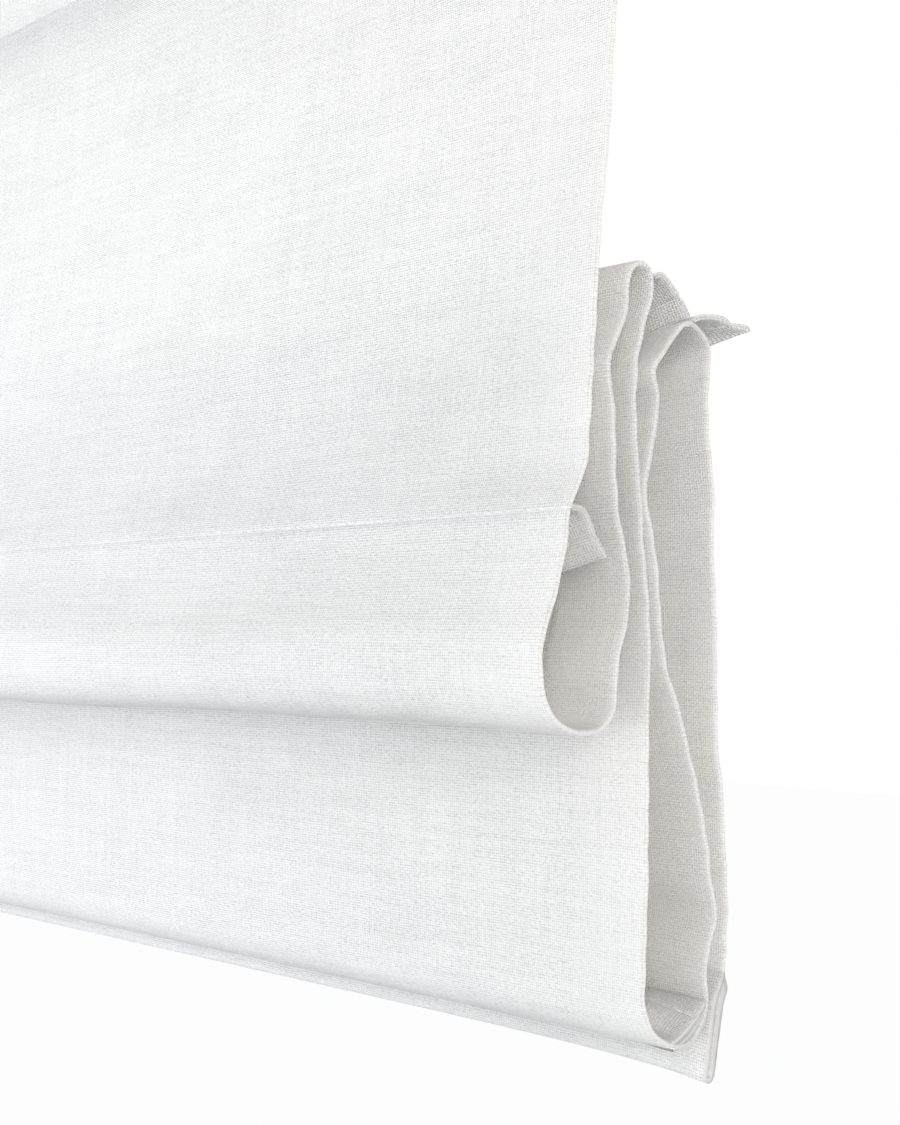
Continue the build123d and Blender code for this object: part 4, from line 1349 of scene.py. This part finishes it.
@dataclass
class Stitching:
    """Rows of machine stitches along lines, made by one node tree."""

    thread: bpy.types.Material
    pitch: float = 3.1
    length: float = 2.5
    radius: float = 0.15
    sides: int = 6

    def tree(self) -> bpy.types.NodeTree:
        """Builds the node tree that lays stitches along every line of a curve.

        Returns:
            The tree, with named inputs for its sizes.
        """
        tree = bpy.data.node_groups.new("stitch_row", "GeometryNodeTree")
        face = tree.interface
        face.new_socket("Line", in_out="INPUT", socket_type="NodeSocketGeometry")
        for name, value in (("Stitch pitch", self.pitch * MM), ("Stitch length", self.length * MM),
                            ("Thread radius", self.radius * MM)):
            made = face.new_socket(name, in_out="INPUT", socket_type="NodeSocketFloat")
            made.default_value = value
        seed = face.new_socket("Seed", in_out="INPUT", socket_type="NodeSocketInt")
        seed.default_value = 7
        face.new_socket("Thread", in_out="INPUT", socket_type="NodeSocketMaterial")
        face.new_socket("Stitches", in_out="OUTPUT", socket_type="NodeSocketGeometry")

        def node(kind: str, settings: dict[str, Any] | None = None,
                 values: dict[Any, Any] | None = None) -> bpy.types.Node:
            """Makes a node, sets it up and joins it."""
            made = tree.nodes.new(kind)
            for key, value in (settings or {}).items():
                setattr(made, key, value)
            for key, value in (values or {}).items():
                if isinstance(value, bpy.types.NodeSocket):
                    tree.links.new(value, made.inputs[key])
                else:
                    made.inputs[key].default_value = value
            return made

        given = node("NodeGroupInput")
        points = node("GeometryNodeCurveToPoints", {"mode": "LENGTH"},
                      {"Curve": given.outputs["Line"], "Length": given.outputs["Stitch pitch"]})
        half = node("ShaderNodeMath", {"operation": "MULTIPLY"}, {0: given.outputs["Stitch length"], 1: 0.5})
        low = node("ShaderNodeMath", {"operation": "MULTIPLY"}, {0: given.outputs["Stitch length"], 1: -0.5})
        dip = node("ShaderNodeMath", {"operation": "MULTIPLY"}, {0: given.outputs["Thread radius"], 1: 0.9})
        start = node("ShaderNodeCombineXYZ", None, {"X": low.outputs[0]})
        middle = node("ShaderNodeCombineXYZ", None, {"Z": dip.outputs[0]})
        end = node("ShaderNodeCombineXYZ", None, {"X": half.outputs[0]})
        bow = node("GeometryNodeCurveQuadraticBezier", None, {
            "Resolution": 4, "Start": start.outputs[0], "Middle": middle.outputs[0], "End": end.outputs[0]})
        circle = node("GeometryNodeCurvePrimitiveCircle", None,
                      {"Resolution": self.sides, "Radius": given.outputs["Thread radius"]})
        stitch = node("GeometryNodeCurveToMesh", None, {
            "Curve": bow.outputs[0], "Profile Curve": circle.outputs[0], "Fill Caps": True})
        sizes = node("FunctionNodeRandomValue", {"data_type": "FLOAT"}, {"Seed": given.outputs["Seed"]})
        sizes.inputs[2].default_value = 0.88
        sizes.inputs[3].default_value = 1.08
        turned = node("FunctionNodeAlignRotationToVector", {"axis": "X"}, {"Vector": points.outputs["Tangent"]})
        placed = node("GeometryNodeInstanceOnPoints", None, {
            "Points": points.outputs["Points"], "Instance": stitch.outputs[0], "Rotation": turned.outputs[0],
            "Scale": sizes.outputs[1]})
        real = node("GeometryNodeRealizeInstances", None, {"Geometry": placed.outputs[0]})
        smooth = node("GeometryNodeSetShadeSmooth", None, {"Geometry": real.outputs[0]})
        dressed = node("GeometryNodeSetMaterial", None,
                       {"Geometry": smooth.outputs[0], "Material": given.outputs["Thread"]})
        result = node("NodeGroupOutput")
        tree.links.new(dressed.outputs[0], result.inputs["Stitches"])
        return tree

    def lay(self, name: str, rows: list[np.ndarray], tree: bpy.types.NodeTree) -> bpy.types.Object:
        """Lays stitches along rows.

        Args:
            name: Name of the piece.
            rows: Lines, each (N, 3), in millimetres.
            tree: The stitch tree.

        Returns:
            The piece, as a plain mesh.
        """
        curve = bpy.data.curves.new(name + "_lines", "CURVE")
        curve.dimensions = "3D"
        for row in rows:
            spline = curve.splines.new("POLY")
            spline.points.add(len(row) - 1)
            places = np.concatenate([row * MM, np.ones((len(row), 1))], axis=1)
            spline.points.foreach_set("co", places.astype(np.float32).ravel())
        guide = bpy.data.objects.new(name + "_guide", curve)
        bpy.context.collection.objects.link(guide)
        modifier = guide.modifiers.new("stitches", "NODES")
        modifier.node_group = tree
        for item in tree.interface.items_tree:
            if item.item_type == "SOCKET" and item.in_out == "INPUT" and item.name == "Thread":
                modifier[item.identifier] = self.thread
        depsgraph = bpy.context.evaluated_depsgraph_get()
        mesh = bpy.data.meshes.new_from_object(guide.evaluated_get(depsgraph), depsgraph=depsgraph)
        bpy.data.objects.remove(guide)
        mesh.name = name
        made = bpy.data.objects.new(name, mesh)
        bpy.context.collection.objects.link(made)
        if not mesh.materials:
            mesh.materials.append(self.thread)
        return made


# ---------------------------------------------------------------- studio


@dataclass(frozen=True)
class Lamp:
    """Soft lamp: a square that faces its aim, or a spot whose cone fades to its edge."""

    name: str
    place: tuple[float, float, float]
    size: float
    power: float
    colour: tuple[float, float, float]
    aim: tuple[float, float, float] = STACK_AIM
    cone: float | None = None

    def build(self) -> None:
        """Makes the lamp."""
        data = bpy.data.lights.new(self.name, "AREA" if self.cone is None else "SPOT")
        data.energy = self.power
        data.color = self.colour
        if self.cone is None:
            data.shape = "SQUARE"
            data.size = self.size
        else:
            data.spot_size = math.radians(self.cone)
            data.spot_blend = 1.0
            data.shadow_soft_size = self.size
        lamp = bpy.data.objects.new(self.name, data)
        lamp.location = self.place
        lamp.rotation_euler = (Vector(self.aim) - Vector(self.place)).to_track_quat("-Z", "Y").to_euler()
        bpy.context.collection.objects.link(lamp)


@dataclass
class Studio:
    """Pale floor, soft light and the camera at the photograph's angle."""

    camera_place: tuple[float, float, float] = (0.4978, -0.2961, -0.570)
    azimuth: float = 43.0
    pitch: float = 2.88
    focal_pixels: float = 1538.6
    frame_height: float = 1125.0
    sensor: float = 36.0
    world_strength: float = 0.64
    floor_level: float = -1.25
    floor_half_size: float = 6.0
    paper: tuple[float, float, float, float] = (0.90, 0.90, 0.90, 1.0)
    white_share: float = 0.96
    lamps: tuple[Lamp, ...] = (
        Lamp("room_lamp", (2.6, -2.0, 0.0), 1.8, 62.5, ROOM_LIGHT),
        Lamp("window_lamp", (-0.5, -0.95, -0.66), 0.7, 6.2, DAYLIGHT),
        Lamp("low_window_lamp", (-0.22, -1.15, -0.66), 0.25, 35.0, DAYLIGHT, (0.06, 0.0, -0.62), 32.0),
    )

    def camera(self) -> None:
        """Sets up the camera."""
        data = bpy.data.cameras.new("camera")
        data.sensor_width = self.sensor
        data.sensor_height = self.sensor
        data.sensor_fit = "AUTO"
        data.lens = self.focal_pixels / self.frame_height * self.sensor
        data.clip_start = 0.01
        data.clip_end = 50.0
        turn, tilt = math.radians(self.azimuth), math.radians(self.pitch)
        direction = Vector((-math.sin(turn) * math.cos(tilt), math.cos(turn) * math.cos(tilt), math.sin(tilt)))
        camera = bpy.data.objects.new("camera", data)
        camera.location = self.camera_place
        camera.rotation_euler = direction.to_track_quat("-Z", "Y").to_euler()
        bpy.context.collection.objects.link(camera)
        bpy.context.scene.camera = camera

    def floor(self) -> None:
        """Wide pale floor."""
        size, z = self.floor_half_size, self.floor_level
        vertices = np.array([(-size, -size, z), (size, -size, z), (size, size, z), (-size, size, z)])
        recipe = Recipe("studio_floor")
        path = recipe.tree.nodes.new("ShaderNodeLightPath")
        seen = Wire(recipe, path.outputs["Is Camera Ray"]).at_least(Wire(recipe, path.outputs["Is Glossy Ray"]))
        seen = seen.at_least(Wire(recipe, path.outputs["Is Transmission Ray"]))
        paper = recipe.principled({"Base Color": self.paper, "Roughness": 0.9})
        white = recipe.node("ShaderNodeEmission", None, {"Color": (1, 1, 1, 1), "Strength": 1.0})
        mixed = recipe.node("ShaderNodeMixShader", None, {0: seen * self.white_share, 1: paper, 2: white})
        material = recipe.finish(mixed)
        floor = mesh_object("studio_floor", vertices, [np.array([[0, 1, 2, 3]])], material, flat_groups=(0,))

    def world(self) -> None:
        """Even surrounding light, white to the camera."""
        world = bpy.data.worlds.new("studio")
        bpy.context.scene.world = world
        world.use_nodes = True
        tree = world.node_tree
        tree.nodes.clear()
        path = tree.nodes.new("ShaderNodeLightPath")
        seen = path.outputs["Is Camera Ray"]
        for ray in ("Is Glossy Ray", "Is Transmission Ray"):
            most = tree.nodes.new("ShaderNodeMath")
            most.operation = "MAXIMUM"
            tree.links.new(seen, most.inputs[0])
            tree.links.new(path.outputs[ray], most.inputs[1])
            seen = most.outputs[0]
        mixed = tree.nodes.new("ShaderNodeMixShader")
        tree.links.new(seen, mixed.inputs[0])
        lights = {1: (DAYLIGHT, self.world_strength), 2: ((1.0, 1.0, 1.0), 1.0)}
        for place, (colour, strength) in lights.items():
            light = tree.nodes.new("ShaderNodeBackground")
            light.inputs["Color"].default_value = rgba(colour)
            light.inputs["Strength"].default_value = strength
            tree.links.new(light.outputs[0], mixed.inputs[place])
        output = tree.nodes.new("ShaderNodeOutputWorld")
        tree.links.new(mixed.outputs[0], output.inputs["Surface"])

    def build(self) -> None:
        """Builds the whole studio."""
        bpy.context.scene.view_settings.view_transform = "Standard"
        self.camera()
        self.floor()
        self.world()
        for lamp in self.lamps:
            lamp.build()


# ---------------------------------------------------------------- dressing


@dataclass
class Hardware:
    """Finishes of the CAD pieces that show as they are."""

    finishes: dict[str, bpy.types.Material]

    def finish_for(self, node: str) -> bpy.types.Material:
        """Picks the finish of a CAD piece by its name.

        Args:
            node: Name of the piece.

        Returns:
            Its material.
        """
        starts = {
            "headrail": "rail", "end_cap": "moulding", "bracket": "zinc", "hook_tape": "hook_tape",
            "loop_tape": "loop_tape", "lift_shaft": "steel", "cord_drum": "moulding", "drum_cradle": "moulding",
            "cord_outlet": "moulding", "spring_motor": "housing", "lift_lock": "housing", "bottom_bar": "bar",
            "rod_tips": "clear", "rod_": "glass_fibre", "rings": "clear",
        }
        for start, finish in starts.items():
            if node.startswith(start):
                return self.finishes[finish]
        raise KeyError(node)

    def dress(self, frame: dict[str, Any]) -> None:
        """Gives every CAD piece but the cloth its finish.

        Args:
            frame: The loaded frame.
        """
        for name, node in frame["nodes"].items():
            if name == "fabric":
                continue
            material = self.finish_for(name)
            node.data.materials.clear()
            node.data.materials.append(material)
            LOG.info("finish %s: %s", name, material.name)


def hardware_finishes() -> dict[str, bpy.types.Material]:
    """Makes the finishes of the hard pieces.

    Returns:
        Materials by short name.
    """
    return {
        "rail": PlainFinish("white_powder_coat", (0.82, 0.82, 0.81), 0.42, grain_height=0.00003).make(),
        "moulding": PlainFinish("white_moulding", (0.82, 0.82, 0.80), 0.5, spread=0.03).make(),
        "housing": PlainFinish("grey_moulding", (0.60, 0.61, 0.62), 0.52, spread=0.04).make(),
        "zinc": PlainFinish("zinc_plate", (0.62, 0.62, 0.61), 0.38, metallic=1.0, spread=0.10).make(),
        "steel": PlainFinish("drawn_steel", (0.58, 0.58, 0.58), 0.28, metallic=1.0,
                             grain=(40.0, 4000.0, 4000.0)).make(),
        "bar": PlainFinish("white_painted_bar", (0.84, 0.84, 0.83), 0.45).make(),
        "glass_fibre": PlainFinish("glass_fibre", (0.84, 0.84, 0.78), 0.48, grain=(30.0, 3500.0, 3500.0)).make(),
        "clear": PlainFinish("milky_plastic", (0.84, 0.85, 0.85), 0.22, coat=0.3, spread=0.02).make(),
        "hook_tape": TapeFinish("hook_tape", (0.86, 0.86, 0.85), 0.0011, 0.0004).make(),
        "loop_tape": TapeFinish("loop_tape", (0.87, 0.87, 0.86), 0.0007, 0.0003).make(),
    }


RIDES = {Stretch.TOP: Body.FIXED, Stretch.FRONT: Body.UPPER, Stretch.SECOND_FALL: Body.MIDDLE,
         Stretch.LAST_FALL: Body.LOWER}
BLENDS = {
    Stretch.MIDDLE: (Body.FIXED, Body.UPPER, ROD_HEIGHTS["rod_1"], ROD_HEIGHTS["rod_2"]),
    Stretch.FIRST_RISE: (Body.UPPER, Body.MIDDLE, STACK_LEVEL - 47.0, STACK_LEVEL + 55.6),
    Stretch.SECOND_RISE: (Body.MIDDLE, Body.LOWER, STACK_LEVEL - 117.5, STACK_LEVEL + 45.3),
}


def move(made: ClothPiece) -> None:
    """Puts a stretch of cloth on its body; a stretch listed between two bodies only has its transform applied and stays
    unparented.
    """
    if made.stretch in RIDES:
        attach(made.piece, RIDES[made.stretch].value)
        return
    first, second, start, end = BLENDS[made.stretch]
    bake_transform(made.piece)


def main() -> None:
    """Builds everything in order and reports each piece."""
    logging.basicConfig(level=logging.INFO, format="%(message)s")
    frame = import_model()
    linen = SlubLinen().make()
    cloth = FoldedCloth(linen)
    pieces = cloth.build()
    for made in pieces:
        move(made)
        LOG.info("%s: %.1f mm of cloth", made.piece.name, made.length / MM)
    pockets = RodPockets(linen)
    for shape in pocket_shapes():
        piece = pockets.build(shape)
        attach(piece, shape.body.value)
        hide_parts("fabric")
        LOG.info("%s", piece.name)
    hem, hem_rows = BottomHem(linen, float(cloth.run[-1])).build()
    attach(hem, Body.LOWER.value)
    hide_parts("fabric")
    for made in pieces:
        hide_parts("fabric")
    stitching = Stitching(SewingThread().make())
    tree = stitching.tree()
    rows = {body: cloth.stitch_rows.get(body, []) + pockets.stitch_rows.get(body, []) for body in Body}
    rows[Body.LOWER] += hem_rows
    for body, lines in rows.items():
        piece = stitching.lay("stitches_" + body.name.lower(), lines, tree)
        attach(piece, body.value)
        LOG.info("%s: %d rows, %d faces", piece.name, len(lines), len(piece.data.polygons))
    Hardware(hardware_finishes()).dress(frame)
    Studio().build()


if __name__ == "__main__":
    main()
